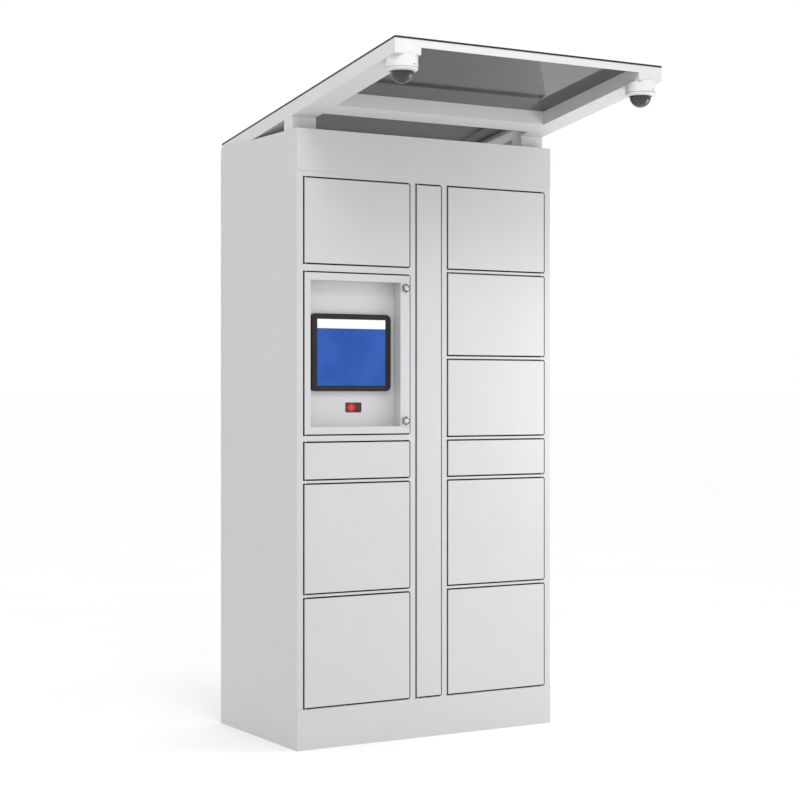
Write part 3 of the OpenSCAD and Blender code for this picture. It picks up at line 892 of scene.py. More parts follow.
class Shape:
    """A mesh under construction, in metres in the locker's own frame."""

    def __init__(self) -> None:
        """Starts an empty mesh."""
        self.mesh = bmesh.new()

    def loft(self, rings: Sequence[Iterable[Vector]], closed: bool = False) -> None:
        """Skins a row of rings that have equal numbers of points.

        Args:
            rings: The rings, in order.
            closed: Whether the last ring joins the first; if not, both are capped.
        """
        made = [[self.mesh.verts.new(point) for point in ring] for ring in rings]
        pairs = list(zip(made, made[1:]))
        if closed:
            pairs.append((made[-1], made[0]))
        for lower, upper in pairs:
            count = len(lower)
            for index in range(count):
                after = (index + 1) % count
                self.mesh.faces.new((lower[index], lower[after], upper[after], upper[index]))
        if not closed:
            self.mesh.faces.new(list(reversed(made[0])))
            self.mesh.faces.new(made[-1])

    def block(self, low: Sequence[float], high: Sequence[float], edge: float) -> None:
        """A box with rounded edges.

        Args:
            low: The lowest corner.
            high: The highest corner.
            edge: Radius of its edges.
        """
        plan = Rect(low[0], high[0], low[1], high[1])
        turns = [math.radians(30 * step) for step in range(4)]
        round_off = [(edge * (1 - math.sin(turn)), edge * (1 - math.cos(turn))) for turn in turns]
        levels = [(inset, low[2] + rise) for inset, rise in round_off]
        levels += [(inset, high[2] - fall) for inset, fall in reversed(round_off)]
        rings = []
        for inset, z in levels:
            outline = plan.inset(inset).outline(Corners.even(edge).less(inset * 0.98), 3)
            rings.append([Vector((x, y, z)) for x, y in outline])
        self.loft(rings)

    def lathe(
        self, profile: Sequence[Point], place: Matrix, segments: int, closed: bool = False
    ) -> None:
        """Turns a profile of radius and height about a placed Z axis.

        Args:
            profile: Radius and height of each ring.
            place: Where the axis stands.
            segments: Segments round the axis.
            closed: Whether the profile closes on itself.
        """
        self.loft([lifted(circle(radius, segments), place, height) for radius, height in profile], closed)

    def stack(self, layers: Sequence[Layer], closed: bool = False) -> None:
        """Lofts through upright rectangles, each at its own depth.

        Args:
            layers: Rectangle, corner radii and depth (Y) of each ring.
            closed: Whether the last ring joins the first.
        """
        rings = []
        for rect, corners, depth in layers:
            rings.append([Vector((x, depth, z)) for x, z in rect.outline(corners)])
        self.loft(rings, closed)

    def pressed(self, rect: Rect, corners: Corners, profile: Sequence[Point], closed: bool = False) -> None:
        """Lofts one rectangle's outline through insets and depths.

        Args:
            rect: The rectangle.
            corners: Its corner radii.
            profile: Inset and depth (Y) of each ring.
            closed: Whether the profile closes on itself.
        """
        self.stack([(rect.inset(inset), corners.less(inset), depth) for inset, depth in profile], closed)

    def holed_plate(self, half: Point, hole: Point, thick: float, place: Matrix) -> None:
        """A plate in the placed XY plane with a round hole through it.

        Args:
            half: Half its width and height.
            hole: The hole's radius and its centre's height above the middle.
            thick: Its thickness along the placed Z axis.
            place: Where its middle stands.
        """
        radius, up = hole
        outer = Rect.centred(*half).outline(Corners.even(0.003))
        inner = [(x, up + y) for x, y in circle(radius, len(outer), math.pi, 0.5)]
        walls = ((outer, 0.0), (inner, 0.0), (inner, thick), (outer, thick))
        self.loft([lifted(outline, place, z) for outline, z in walls], closed=True)

    def screw(self, place: Matrix, radius: float) -> None:
        """A low domed screw head with a socket.

        Args:
            place: Where its seat stands, with +Z out of the surface.
            radius: Radius of the head.
        """
        tall = radius * 0.55
        profile = [(radius, 0.0), (radius, tall * 0.3)]
        for share in (0.35, 0.65, 0.85):
            profile.append((radius * math.cos(share * 1.1), tall * (0.3 + 0.7 * math.sin(share * 1.5))))
        profile += [(radius * 0.42, tall * 0.96), (radius * 0.36, tall * 0.3)]
        self.lathe(profile, place, 16)

    def piece(
        self, name: str, paint: Paintshop, slot: Slot, body: str = "cabinet", instead_of: str = ""
    ) -> None:
        """Turns the mesh into an object that rides on a body.

        Args:
            name: The object's name.
            paint: Where finishes come from.
            slot: The finish's slot.
            body: The CAD body it rides on.
            instead_of: The CAD node that it replaces, if it replaces one.
        """
        bmesh.ops.recalc_face_normals(self.mesh, faces=self.mesh.faces)
        data = bpy.data.meshes.new(name)
        self.mesh.to_mesh(data)
        self.mesh.free()
        data.materials.append(paint[slot])
        made = bpy.data.objects.new(name, data)
        bpy.context.scene.collection.objects.link(made)
        soften(made)
        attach(made, body)
        if instead_of:
            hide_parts(instead_of)
        LOG.info("%s: %d faces, rides on %s", name, len(data.polygons), body)


def soften(piece: bpy.types.Object) -> None:
    """Shades a piece smooth with its flat faces kept flat.

    Args:
        piece: The object that is shaded.
    """
    piece.data.shade_smooth()
    flat = piece.modifiers.new("flat_faces", "WEIGHTED_NORMAL")
    flat.mode = "FACE_AREA"
    flat.weight = 50
    flat.keep_sharp = True


def dress(node: str, paint: Paintshop, slot: Slot, edge: float = 0.0) -> None:
    """Gives a CAD node its finish and, if asked, rounded edges.

    Args:
        node: The node's name.
        paint: Where finishes come from.
        slot: The finish's slot.
        edge: Width of the rounded edges, or 0 for none.
    """
    part = frame["nodes"][node]
    if not part.material_slots:
        part.data.materials.append(None)
    for holder in part.material_slots:
        holder.material = paint[slot]
    weld = part.modifiers.new("joined", "WELD")
    weld.merge_threshold = WELD_REACH
    if edge > 0:
        bevel = part.modifiers.new("rounded", "BEVEL")
        bevel.width = edge
        bevel.segments = 2
        bevel.limit_method = "ANGLE"
        bevel.angle_limit = math.radians(SHARP_DEG)
        bevel.use_clamp_overlap = True
    soften(part)
    LOG.info("%s: dressed as %s", node, slot.value)


def nodes_with(text: str) -> list[str]:
    """Names of the CAD nodes that hold a text, in the record's order."""
    return [part["node"] for part in frame["record"]["subparts"] if text in part["node"]]


# ---------------------------------------------------------------- doors

DOOR_CORNERS = Corners(0.0016, 0.0045)


@dataclass(frozen=True)
class SealAndGapShade:
    """The dark rubber seal round a door's walls: partly a real seal, partly painted shade that darkens the
    gap round the door.
    """

    node: str
    rect: Rect
    face: float
    out: float = 0.0012
    start: float = 0.0034
    stop: float = 0.0006
    sunk: float = 0.0002
    rounded: float = 0.0004

    def build(self, paint: Paintshop) -> None:
        """Builds the seal, which also paints shade into the door gap.

        Args:
            paint: Where finishes come from.
        """
        front = self.face + self.start
        back = self.face + DOOR_THICK - self.stop
        profile = [
            (self.sunk, front), (-self.out * 0.7, front + self.rounded), (-self.out, front + self.out),
            (-self.out, back - self.out), (-self.out * 0.7, back - self.rounded), (self.sunk, back)]
        shape = Shape()
        shape.pressed(self.rect, DOOR_CORNERS, profile, closed=True)
        shape.piece(f"{self.node}_seal_and_gap_shade", paint, Slot.MODULE, self.node)


@dataclass
class FoldedDoor:
    """A folded steel door: rolled front edges, returned rear lips, a stiffener and a dark edge seal that also
    paints shade into the gap.
    """

    node: str
    hinge: Hinge
    tab: bool = True
    sheet: float = 0.0015
    edge_roll: float = 0.0022
    lip: float = 0.013
    stiffener_half: float = 0.026
    stiffener_share: float = 0.22
    stiffener_deep: float = 0.0085
    stiffener_gap: float = 0.004
    tab_half: float = 0.012
    tab_gap: float = 0.0002
    tab_foot: float = 0.014
    tab_edge: float = 0.0005
    hole_r: float = 0.005
    hole_in: float = 0.009

    def __post_init__(self) -> None:
        """Takes the door's place from its CAD node."""
        self.box = Box.of(self.node)
        self.rect = self.box.front
        self.face = self.box.low.y
        self.rear = self.face + DOOR_THICK

    def build(self, paint: Paintshop) -> None:
        """Builds the door and its dark seal, which also paints shade into the gap.

        Args:
            paint: Where finishes come from.
        """
        shape = Shape()
        self._pan(shape)
        self._stiffener(shape)
        if self.tab:
            self._tab(shape)
        shape.piece(f"{self.node}_folded", paint, Slot.DOOR, self.node, instead_of=self.node)
        # Dark seal: part real seal, part painted shade in the door gap.
        SealAndGapShade(self.node, self.rect, self.face).build(paint)

    def _pan(self, shape: Shape) -> None:
        """Adds the outer skin with its folded walls and rear lips.

        Args:
            shape: The mesh it is added to.
        """
        inner_face = self.face + self.sheet
        inner_rear = self.rear - self.sheet
        fold = self.edge_roll - self.sheet
        profile = [
            (self.sheet + fold, inner_face),
            (self.sheet, inner_face + fold),
            (self.sheet, inner_rear),
            (self.lip, inner_rear),
            (self.lip, self.rear),
            (self.sheet, self.rear),
            (self.sheet * 0.3, self.rear - self.sheet * 0.3),
            (0.0, self.rear - self.sheet),
        ]
        shape.pressed(self.rect, DOOR_CORNERS, profile + roll(self.edge_roll, self.face))

    def _stiffener(self, shape: Shape) -> None:
        """Adds a hat-section stiffener down the middle of the skin.

        Args:
            shape: The mesh it is added to.
        """
        middle = (self.rect.x0 + self.rect.x1) / 2
        half = min(self.stiffener_half, self.rect.width * self.stiffener_share)
        web = half * 0.6
        seat = self.face + self.sheet
        brim = seat + self.sheet
        top = seat + self.stiffener_deep
        outline = (
            (-half, seat), (-half, brim), (-web, brim), (-web * 0.85, top),
            (web * 0.85, top), (web, brim), (half, brim), (half, seat))
        ends = (self.rect.z0 + self.lip + self.stiffener_gap, self.rect.z1 - self.lip - self.stiffener_gap)
        shape.loft([[Vector((middle + x, y, z)) for x, y in outline] for z in ends])

    def _tab(self, shape: Shape) -> None:
        """Adds the striker tab that a bolt locks into, with its foot.

        Args:
            shape: The mesh it is added to.
        """
        inward = self.hinge.value
        free = self.rect.x1 if self.hinge is Hinge.LEFT else self.rect.x0
        near = free + inward * (self.sheet + self.tab_gap)
        z = self.box.middle.z
        start, end = self.face + self.sheet, self.box.high.y
        middle = (start + end) / 2
        place = Matrix(((0, 0, inward, near), (1, 0, 0, middle), (0, 1, 0, z), (0, 0, 0, 1)))
        hole = (self.hole_r, end - self.hole_in - middle)
        shape.holed_plate((self.tab_half, (end - start) / 2), hole, self.sheet, place @ turned(-90, "Z"))
        foot = sorted((near, near + inward * self.tab_foot))
        shape.block(
            (foot[0], start, z - self.tab_half),
            (foot[1], start + self.sheet, z + self.tab_half), self.tab_edge)


@dataclass
class TerminalDoor:
    """The terminal's door: the pressed recess with its dark seal (partly painted shade in the gap), display
    and scanner.
    """

    surround: float = 0.0032
    surround_out: float = 0.0011
    surround_r: float = 0.0012
    bezel_r: float = 0.018
    bezel_roll: float = 0.0032
    bezel_slope: float = 0.0028
    bezel_deep: float = 0.0164
    bezel_in: float = 0.02
    opening_r: float = 0.002
    glass_back: float = 0.0006
    case_gap: float = 0.0005
    case_edge: float = 0.003
    vent_count: int = 9
    vent_in: float = 0.03
    vent_out: float = 0.0035
    vent_edge: float = 0.00099

    def build(self, paint: Paintshop) -> None:
        """Builds and dresses the door and its fittings.

        Args:
            paint: Where finishes come from.
        """
        dress("terminal_door", paint, Slot.DOOR, 0.0008)
        face = Box.of("service_door").low.y
        # Dark seal: part real seal, part painted shade in the door gap.
        SealAndGapShade("terminal_door", Box.of("terminal_door").front, face).build(paint)
        self._bezel(paint)
        self._surround(paint)
        dress("display_screen", paint, Slot.SCREEN, 0.0003)
        dress("scanner_window", paint, Slot.SCANNER, 0.0002)
        dress("scanner_module", paint, Slot.MODULE, 0.0012)

    def _bezel(self, paint: Paintshop) -> None:
        """The display's moulded frame and its vented rear box.

        Args:
            paint: Where finishes come from.
        """
        housing, screen = Box.of("display_housing"), Box.of("display_screen")
        outer, opening = housing.front, screen.front.inset(-0.0003)
        face = screen.low.y - self.glass_back
        floor = screen.low.y + self.bezel_deep
        corners, opened = Corners.even(self.bezel_r), Corners.even(self.opening_r)
        layers = [(outer.inset(self.bezel_in), corners.less(0.015), floor), (outer, corners, floor)]
        for inset, depth in roll(self.bezel_roll, face):
            layers.append((outer.inset(inset), corners.less(inset), depth))
        layers += [
            (opening.inset(-self.bezel_slope), opened.less(-self.bezel_slope), face),
            (opening.inset(-0.0004), opened, screen.low.y + 0.0001),
            (opening, opened, screen.high.y)]
        shape = Shape()
        shape.stack(layers)
        case = outer.inset(self.bezel_in + self.case_gap)
        back = housing.high.y
        shape.block((case.x0, floor, case.z0), (case.x1, back - self.case_edge, case.z1), self.case_edge)
        step = case.height * 0.5 / self.vent_count
        for index in range(self.vent_count):
            low = case.z0 + case.height * 0.25 + step * index
            shape.block(
                (case.x0 + self.vent_in, back - self.vent_out, low),
                (case.x1 - self.vent_in, back, low + step * 0.5), self.vent_edge)
        shape.piece("display_bezel", paint, Slot.BEZEL, "terminal_door", instead_of="display_housing")

    def _surround(self, paint: Paintshop) -> None:
        """The dark frame round the scanner's window.

        Args:
            paint: Where finishes come from.
        """
        window = Box.of("scanner_window")
        wide = self.surround
        floor = window.low.y - 0.0003
        top, shoulder = floor - self.surround_out, floor - self.surround_out * 0.5
        profile = [
            (0.0001, window.low.y + 0.0004), (0.0001, shoulder), (-wide * 0.3, top), (-wide * 0.8, top),
            (-wide, shoulder), (-wide, floor + 0.0004)]
        shape = Shape()
        shape.pressed(window.front, Corners.even(self.surround_r), profile, closed=True)
        shape.piece("scanner_surround", paint, Slot.MODULE, "terminal_door")


@dataclass
class CamLocks:
    """The two cam locks: hexagonal heads, threaded barrels with nuts, keyed cores and cams."""

    proud: float = 0.010
    flange_r: float = 0.0135
    flange_out: float = 0.003
    neck_r: float = 0.0103
    hex_r: float = 0.0140
    barrel_r: float = 0.0095
    plug_r: float = 0.007
    core_r: float = 0.0069
    core_flat_r: float = 0.0052
    core_edge: float = 0.0008
    bore_r: float = 0.00705
    nut_r: float = 0.0155
    nut_thick: float = 0.005
    nut_back: float = 0.0016
    thread_pitch: float = 0.0015
    thread_deep: float = 0.0006
    slot_half: Point = (0.0042, 0.0009)
    slot_deep: float = 0.003
    cam_half: float = 0.007
    cam_r: float = 0.0068
    cam_thick: float = 0.0026
    cam_edge: float = 0.0006
    nodes: tuple[str, ...] = ("lower_cam_lock", "upper_cam_lock")

    def __post_init__(self) -> None:
        """Takes the locks' place from the collars."""
        collars = Box.of("lock_collars")
        self.x = collars.middle.x
        self.door = collars.low.y + self.proud
        self.back = collars.high.y - self.door

    def build(self, paint: Paintshop) -> None:
        """Builds the locks.

        Args:
            paint: Where finishes come from.
        """
        collars, rings = Shape(), Shape()
        for node in self.nodes:
            self._collar(collars, self._place(node))
            self._reflection_ring(rings, self._place(node))
        collars.piece("lock_collars_turned", paint, Slot.BRIGHT, "terminal_door", instead_of="lock_collars")
        # Black rings on the collars: painted dark reflection in the chrome.
        rings.piece("lock_reflection_rings", paint, Slot.LENS, "terminal_door")
        for node in self.nodes:
            self._core(node, paint)

    def _height(self, node: str) -> float:
        """Height of a lock's axis."""
        return Box.of(node).low.z + self.plug_r

    def _place(self, node: str) -> Matrix:
        """A lock's place on the door's face."""
        return facing(self.x, self.door, self._height(node))

    def _collar(self, shape: Shape, place: Matrix) -> None:
        """Adds one collar with its barrel, hexagonal head and nut.

        Args:
            shape: The mesh it is added to.
            place: Where the lock stands.
        """
        out, bore, flange, root = self.proud, self.bore_r, self.flange_out, self.barrel_r - 0.0003
        profile = [
            (bore, -self.back), (bore, out - 0.0012), (bore + 0.0008, out - 0.0004), (bore + 0.0016, out),
            (self.neck_r, out), (self.neck_r, flange), (self.flange_r - 0.0006, flange),
            (self.flange_r, flange - 0.0008), (self.flange_r, 0.0), (self.barrel_r, 0.0)]
        for turn in range(int((self.back - 0.001) / self.thread_pitch)):
            base = -self.thread_pitch * turn - 0.0006
            profile += [
                (self.barrel_r, base), (self.barrel_r - self.thread_deep, base - self.thread_pitch / 2)]
        profile.append((self.barrel_r - 0.0008, -self.back))
        shape.lathe(profile, place, 40, closed=True)
        inner, under, over = self.neck_r - 0.0004, flange - 0.0002, out - 0.0002
        head = [
            (inner, under), (self.hex_r - 0.0006, under), (self.hex_r, flange + 0.0006),
            (self.hex_r, out - 0.0014), (self.hex_r - 0.0012, over), (inner, over)]
        shape.lathe(head, place @ turned(30, "Z"), 6, closed=True)
        seat, foot = -self.nut_back, -self.nut_back - self.nut_thick
        nut = [
            (root, seat), (self.nut_r - 0.001, seat), (self.nut_r, seat - 0.0008),
            (self.nut_r, foot + 0.0008), (self.nut_r - 0.001, foot), (root, foot)]
        shape.lathe(nut, place, 6, closed=True)

    def _reflection_ring(self, shape: Shape, place: Matrix) -> None:
        """Adds a black ring on a collar's face as a painted dark reflection in the chrome.

        Args:
            shape: The mesh it is added to.
            place: Where the lock stands.
        """
        out = self.proud
        inner, outer = self.hex_r - 0.0030, self.hex_r + 0.0003
        profile = [
            (inner, out - 0.0012), (inner, out + 0.0001), (inner + 0.0004, out + 0.0003),
            (outer - 0.0008, out + 0.0002), (outer, out - 0.0006), (outer, out - 0.0022)]
        shape.lathe(profile, place @ turned(30, "Z"), 6, closed=True)

    def _core(self, node: str, paint: Paintshop) -> None:
        """The turning core with its key slot, and the cam on its end.

        Args:
            node: The CAD node it stands for.
            paint: Where finishes come from.
        """
        box, place, z = Box.of(node), self._place(node), self._height(node)
        front, rear = box.low.y, box.high.y
        top = self.door - front
        slot = Rect.centred(*self.slot_half).outline(Corners.even(0.0004))
        rounds = (
            (self.core_r, self.door - rear), (self.core_r, top - self.core_edge),
            (self.core_r - self.core_edge, top), (self.core_flat_r, top))
        rings = [lifted(circle(radius, len(slot), math.pi, 0.5), place, height) for radius, height in rounds]
        rings += [lifted(slot, place, height) for height in (top, top - 0.0003, top - self.slot_deep)]
        shape = Shape()
        shape.loft(rings)
        cam = Rect(self.x - self.cam_half, self.x + self.cam_half, z - self.cam_half * 0.4, box.high.z)
        near, edge = rear - self.cam_thick, self.cam_edge
        profile = [(edge, near), (0.0, near + edge), (0.0, rear - edge), (edge, rear)]
        shape.pressed(cam, Corners.even(self.cam_r), profile)
        shape.piece(f"{node}_core", paint, Slot.BRIGHT, node, instead_of=node)


# ---------------------------------------------------------------- cabinet


@dataclass
class Carcass:
    """The cabinet's fixed sheet metal, kept as designed, with rounded folds and a screwed back."""

    outside: tuple[str, ...] = (
        "left_side_panel", "right_side_panel", "back_panel", "plinth", "top_deck", "door_frame", "fascia")
    inside: tuple[str, ...] = ("base_tray", "service_partitions", "left_shelves", "right_shelves")
    fold: float = 0.0005
    screw_rows: int = 6
    screw_columns: int = 4
    screw_in: float = 0.032
    screw_r: float = 0.004

    def build(self, paint: Paintshop) -> None:
        """Dresses the carcass.

        Args:
            paint: Where finishes come from.
        """
        for node in self.outside:
            dress(node, paint, Slot.PANEL, self.fold)
        for node in self.inside:
            dress(node, paint, Slot.INNER, self.fold)
        dress("hinge_pins", paint, Slot.HINGE)
        self._rear_screws(paint)

    def _rear_screws(self, paint: Paintshop) -> None:
        """Screws round the edge of the back panel.

        Args:
            paint: Where finishes come from.
        """
        panel = Box.of("back_panel")
        edge = panel.front.inset(self.screw_in)
        places = []
        for row in range(self.screw_rows + 1):
            z = edge.z0 + edge.height * row / self.screw_rows
            places += [(edge.x0, z), (edge.x1, z)]
        for column in range(1, self.screw_columns):
            x = edge.x0 + edge.width * column / self.screw_columns
            places += [(x, edge.z0), (x, edge.z1)]
        shape = Shape()
        for x, z in places:
            shape.screw(Matrix.Translation((x, panel.high.y, z)) @ turned(-90, "X"), self.screw_r)
        shape.piece("rear_screws", paint, Slot.HINGE)


@dataclass
class ServiceBay:
    """What stands behind the doors: locks and bolts, the controller and its supply."""

    lock_screw_up: float = 0.018
    lock_screw_r: float = 0.003
    lid_thick: float = 0.0025
    lid_in: float = 0.006
    lid_screw_in: float = 0.01
    lid_screw_r: float = 0.0032
    fins: int = 11
    fin_deep: float = 0.008
    fin_in: float = 0.006

    def build(self, paint: Paintshop) -> None:
        """Builds and dresses the fittings.

        Args:
            paint: Where finishes come from.
        """
        dress("lock_bodies", paint, Slot.MODULE, 0.0012)
        dress("cable_gland", paint, Slot.MODULE, 0.0006)
        for node in nodes_with("_bolt_"):
            dress(node, paint, Slot.HINGE, 0.0006)
        self._lock_screws(paint)
        self._controller(paint)
        self._supply(paint)

    def _lock_screws(self, paint: Paintshop) -> None:
        """Screws that hold each lock to its partition.

        Args:
            paint: Where finishes come from.
        """
        front = Box.of("lock_bodies").low.y
        shape = Shape()
        for node in nodes_with("_bolt_"):
            middle = Box.of(node).middle
            for lift in (-self.lock_screw_up, self.lock_screw_up):
                shape.screw(facing(middle.x, front, middle.z + lift), self.lock_screw_r)
        shape.piece("lock_screws", paint, Slot.HINGE)

    def _controller(self, paint: Paintshop) -> None:
        """The controller's housing with a screwed lid.

        Args:
            paint: Where finishes come from.
        """
        box = Box.of("controller_box")
        front = box.low.y
        shape = Shape()
        shape.block(box.low + Vector((0, self.lid_thick, 0)), box.high, 0.003)
        lid = box.front.inset(self.lid_in)
        shape.block((lid.x0, front, lid.z0), (lid.x1, front + self.lid_thick + 0.001, lid.z1), 0.0012)
        shape.piece("controller_case", paint, Slot.MODULE, instead_of="controller_box")
        screws = Shape()
        corners = lid.inset(self.lid_screw_in)
        for x in (corners.x0, corners.x1):
            for z in (corners.z0, corners.z1):
                screws.screw(facing(x, front + 0.0004, z), self.lid_screw_r)
        screws.piece("controller_screws", paint, Slot.HINGE)

    def _supply(self, paint: Paintshop) -> None:
        """The power supply with its cooling fins.

        Args:
            paint: Where finishes come from.
        """
        box = Box.of("power_supply")
        low, high = box.low, box.high
        front = low.y + self.fin_deep
        shape = Shape()
        shape.block((low.x, front, low.z), high, 0.002)
        pitch = box.size.x / self.fins
        for index in range(self.fins):
            x = low.x + pitch * (index + 0.3)
            shape.block(
                (x, low.y, low.z + self.fin_in),
                (x + pitch * 0.35, front + 0.001, high.z - self.fin_in), 0.0008)
        shape.piece("supply_case", paint, Slot.MODULE, instead_of="power_supply")


@dataclass
class Canopy:
    """The roof's frame, its glossy sheet, the sheet's screws and its black edging."""

    members: tuple[str, ...] = ("roof_posts", "roof_side_rails", "roof_cross_members", "roof_front_beam")
    fold: float = 0.0009
    sheet_thick: float = 0.004
    screw_pairs: int = 5
    screw_in: float = 0.045
    screw_front: float = 0.09
    screw_ends: float = 0.15
    screw_r: float = 0.0045
    trim_out: float = 0.0009
    trim_tall: float = 0.0054
    trim_over: float = 0.0012
    trim_under: float = 0.0004
    trim_rise: float = 0.0003

    def __post_init__(self) -> None:
        """Takes the roof's slope from its sheet."""
        self.sheet = Box.of("roof_sheet")
        self.fall = self.sheet.size.z - self.sheet_thick
        self.rise = self.fall / self.sheet.size.y
        self.tilt = Matrix.Rotation(-math.atan(self.rise), 4, "X")

    def build(self, paint: Paintshop) -> None:
        """Dresses the canopy.

        Args:
            paint: Where finishes come from.
        """
        for node in self.members:
            dress(node, paint, Slot.CANOPY, self.fold)
        dress("roof_sheet", paint, Slot.ROOF, 0.0003)
        dress("canopy_bolts", paint, Slot.HINGE)
        self._sheet_screws(paint)
        self._edge_trim(paint)

    def _edge_trim(self, paint: Paintshop) -> None:
        """The black edging round the roof sheet.

        Args:
            paint: Where finishes come from.
        """
        size = self.sheet.size
        place = Matrix.Translation(self.sheet.middle + Vector((0, 0, self.sheet_thick / 2))) @ self.tilt
        plan = Rect.centred(size.x / 2, math.hypot(size.y, self.fall) / 2)
        out, rise, tall = self.trim_out, self.trim_rise, self.trim_tall
        profile = (
            (-self.trim_over, rise), (out * 0.5, rise), (out, -rise), (out, -tall + 0.0005),
            (out * 0.5, -tall), (-self.trim_under, -tall), (-self.trim_under, -0.0002),
            (-self.trim_over, -0.0002))
        rings = []
        for grow, height in profile:
            outline = plan.inset(-grow).outline(Corners.even(0.002).less(-grow))
            rings.append(lifted(outline, place, height))
        shape = Shape()
        shape.loft(rings, closed=True)
        shape.piece("roof_edging", paint, Slot.BEZEL)

    def _sheet_screws(self, paint: Paintshop) -> None:
        """Screws along both sides of the roof sheet.

        Args:
            paint: Where finishes come from.
        """
        low, high = self.sheet.low, self.sheet.high
        shape = Shape()
        for index in range(self.screw_pairs):
            along = (high.y - low.y - self.screw_ends) * index / (self.screw_pairs - 1)
            y = low.y + self.screw_front + along
            z = high.z - (y - low.y) * self.rise
            for x in (low.x + self.screw_in, high.x - self.screw_in):
                shape.screw(Matrix.Translation((x, y, z)) @ self.tilt, self.screw_r)
        shape.piece("roof_screws", paint, Slot.HINGE)


@dataclass
class DomeCamera:
    """One dome camera's sizes, its moving yoke and eye, and its lens."""

    side: str
    body_r: float = 0.0485
    body_down: float = 0.0295
    ring_tall: float = 0.010
    dome_r: float = 0.035
    dome_down: float = 0.040
    eye_down: float = 0.045
    lens_deg: float = 140.0
    lens_r: float = 0.0059
    lens_bulge: float = 0.0014
    barrel: float = 0.019

    def __post_init__(self) -> None:
        """Finds the point that the camera pans and tilts about."""
        joints = frame["record"]["behaviour"]["joints"]
        pan = next(joint for joint in joints if joint["name"] == f"{self.side}_camera_pan")
        self.centre = Vector(pan["pos_m"])

    @property
    def place(self) -> Matrix:
        """Where the camera hangs."""
        return Matrix.Translation(self.centre + Vector((0, 0, self.eye_down)))

    def build(self, paint: Paintshop) -> None:
        """Builds the lens and dresses the yoke and the eye.

        Args:
            paint: Where finishes come from.
        """
        profile = [(self.lens_r, self.barrel - 0.0021)]
        for step in range(6):
            turn = math.radians(15 * step)
            bulge = self.lens_bulge * math.sin(turn)
            profile.append((self.lens_r * math.cos(turn), self.barrel - 0.002 + bulge))
        shape = Shape()
        shape.lathe(profile, Matrix.Translation(self.centre) @ turned(self.lens_deg, "X"), 32)
        shape.piece(f"{self.side}_lens_glass", paint, Slot.LENS, f"{self.side}_camera_eye")
        for node in (f"{self.side}_camera_yoke", f"{self.side}_camera_eye"):
            dress(node, paint, Slot.LENS, 0.0004)


@dataclass
class CameraPair:
    """Both dome cameras, with the meshes that they share."""

    dot_deg: float = -72.0
    dot_down: float = 0.0215
    gasket_out: float = 0.00025
    gasket_deep: float = 0.002
    shroud_gap: float = 0.0026
    shroud_wall: float = 0.0015

    def __post_init__(self) -> None:
        """Sets out the two cameras."""
        self.cameras = (DomeCamera("left"), DomeCamera("right"))
        self.size = self.cameras[0]

    def build(self, paint: Paintshop) -> None:
        """Builds and dresses both cameras.

        Args:
            paint: Where finishes come from.
        """
        for camera in self.cameras:
            camera.build(paint)
        dress("camera_bodies", paint, Slot.CAMERA, 0.0008)
        dress("camera_domes", paint, Slot.DOME)
        rings = self._turned(self._ring_profile(), 96)
        rings.piece("camera_rings_moulded", paint, Slot.CAMERA, instead_of="camera_trim_rings")
        self._gaskets().piece("camera_gaskets", paint, Slot.LENS)
        self._turned(self._shroud_profile(), 72).piece("camera_shrouds", paint, Slot.LENS)

    def _turned(self, profile: Sequence[Point], segments: int) -> Shape:
        """One closed profile turned about both cameras' axes.

        Args:
            profile: Radius and height of each ring.
            segments: Segments round each axis.

        Returns:
            The mesh.
        """
        shape = Shape()
        for camera in self.cameras:
            shape.lathe(profile, camera.place, segments, closed=True)
        return shape

    def _ring_profile(self) -> list[Point]:
        """Profile of the moulded ring round a dome."""
        top, tall = -self.size.body_down, self.size.ring_tall
        inner, outer = self.size.dome_r + 0.0005, self.size.body_r
        reach = outer - inner - 0.003
        profile = [(inner, top), (outer - 0.0004, top), (outer, top - 0.0004), (outer, top - 0.0016)]
        for step in range(1, 8):
            turn = math.radians(90 * step / 8)
            drop = 0.0016 + (tall - 0.0024) * math.sin(turn)
            profile.append((outer - reach * (1 - math.cos(turn)), top - drop))
        return profile + [
            (inner + 0.0028, top - tall + 0.0006), (inner + 0.002, top - tall), (inner, top - tall)]

    def _gaskets(self) -> Shape:
        """The gaskets between bodies and rings, and the small sensor on each body.

        Returns:
            The mesh.
        """
        seam, outer = -self.size.body_down, self.size.body_r + self.gasket_out
        inner, over, under = outer - self.gasket_deep, seam + 0.0005, seam - 0.0004
        shape = self._turned([(inner, over), (outer, over), (outer, under), (inner, under)], 96)
        dot = [(0.0022, -0.001), (0.0022, 0.0002), (0.0017, 0.0006), (0.0006, 0.0007)]
        for camera in self.cameras:
            aim = turned(self.dot_deg, "Z") @ turned(90, "Y")
            seat = camera.place @ Matrix.Translation((0, 0, -self.dot_down)) @ aim
            shape.lathe(dot, seat @ Matrix.Translation((0, 0, self.size.body_r)), 24)
        return shape

    def _shroud_profile(self) -> list[Point]:
        """Profile of the dark shroud inside the top of a dome."""
        outer, wall = self.size.dome_r - self.shroud_gap, self.shroud_wall
        waist = -self.size.dome_down
        high, low = -self.size.body_down - 0.001, waist - 0.004
        return [
            (outer - wall, high), (outer, high), (outer, waist), (outer - 0.0007, low),
            (outer - 0.0022, low), (outer - wall, waist)]


# ---------------------------------------------------------------- studio


@dataclass(frozen=True)
class Lamp:
    """A soft rectangular light."""

    name: str
    size: Point
    watts: float
    start: Triple
    aim: Triple
    mirrored: bool = True


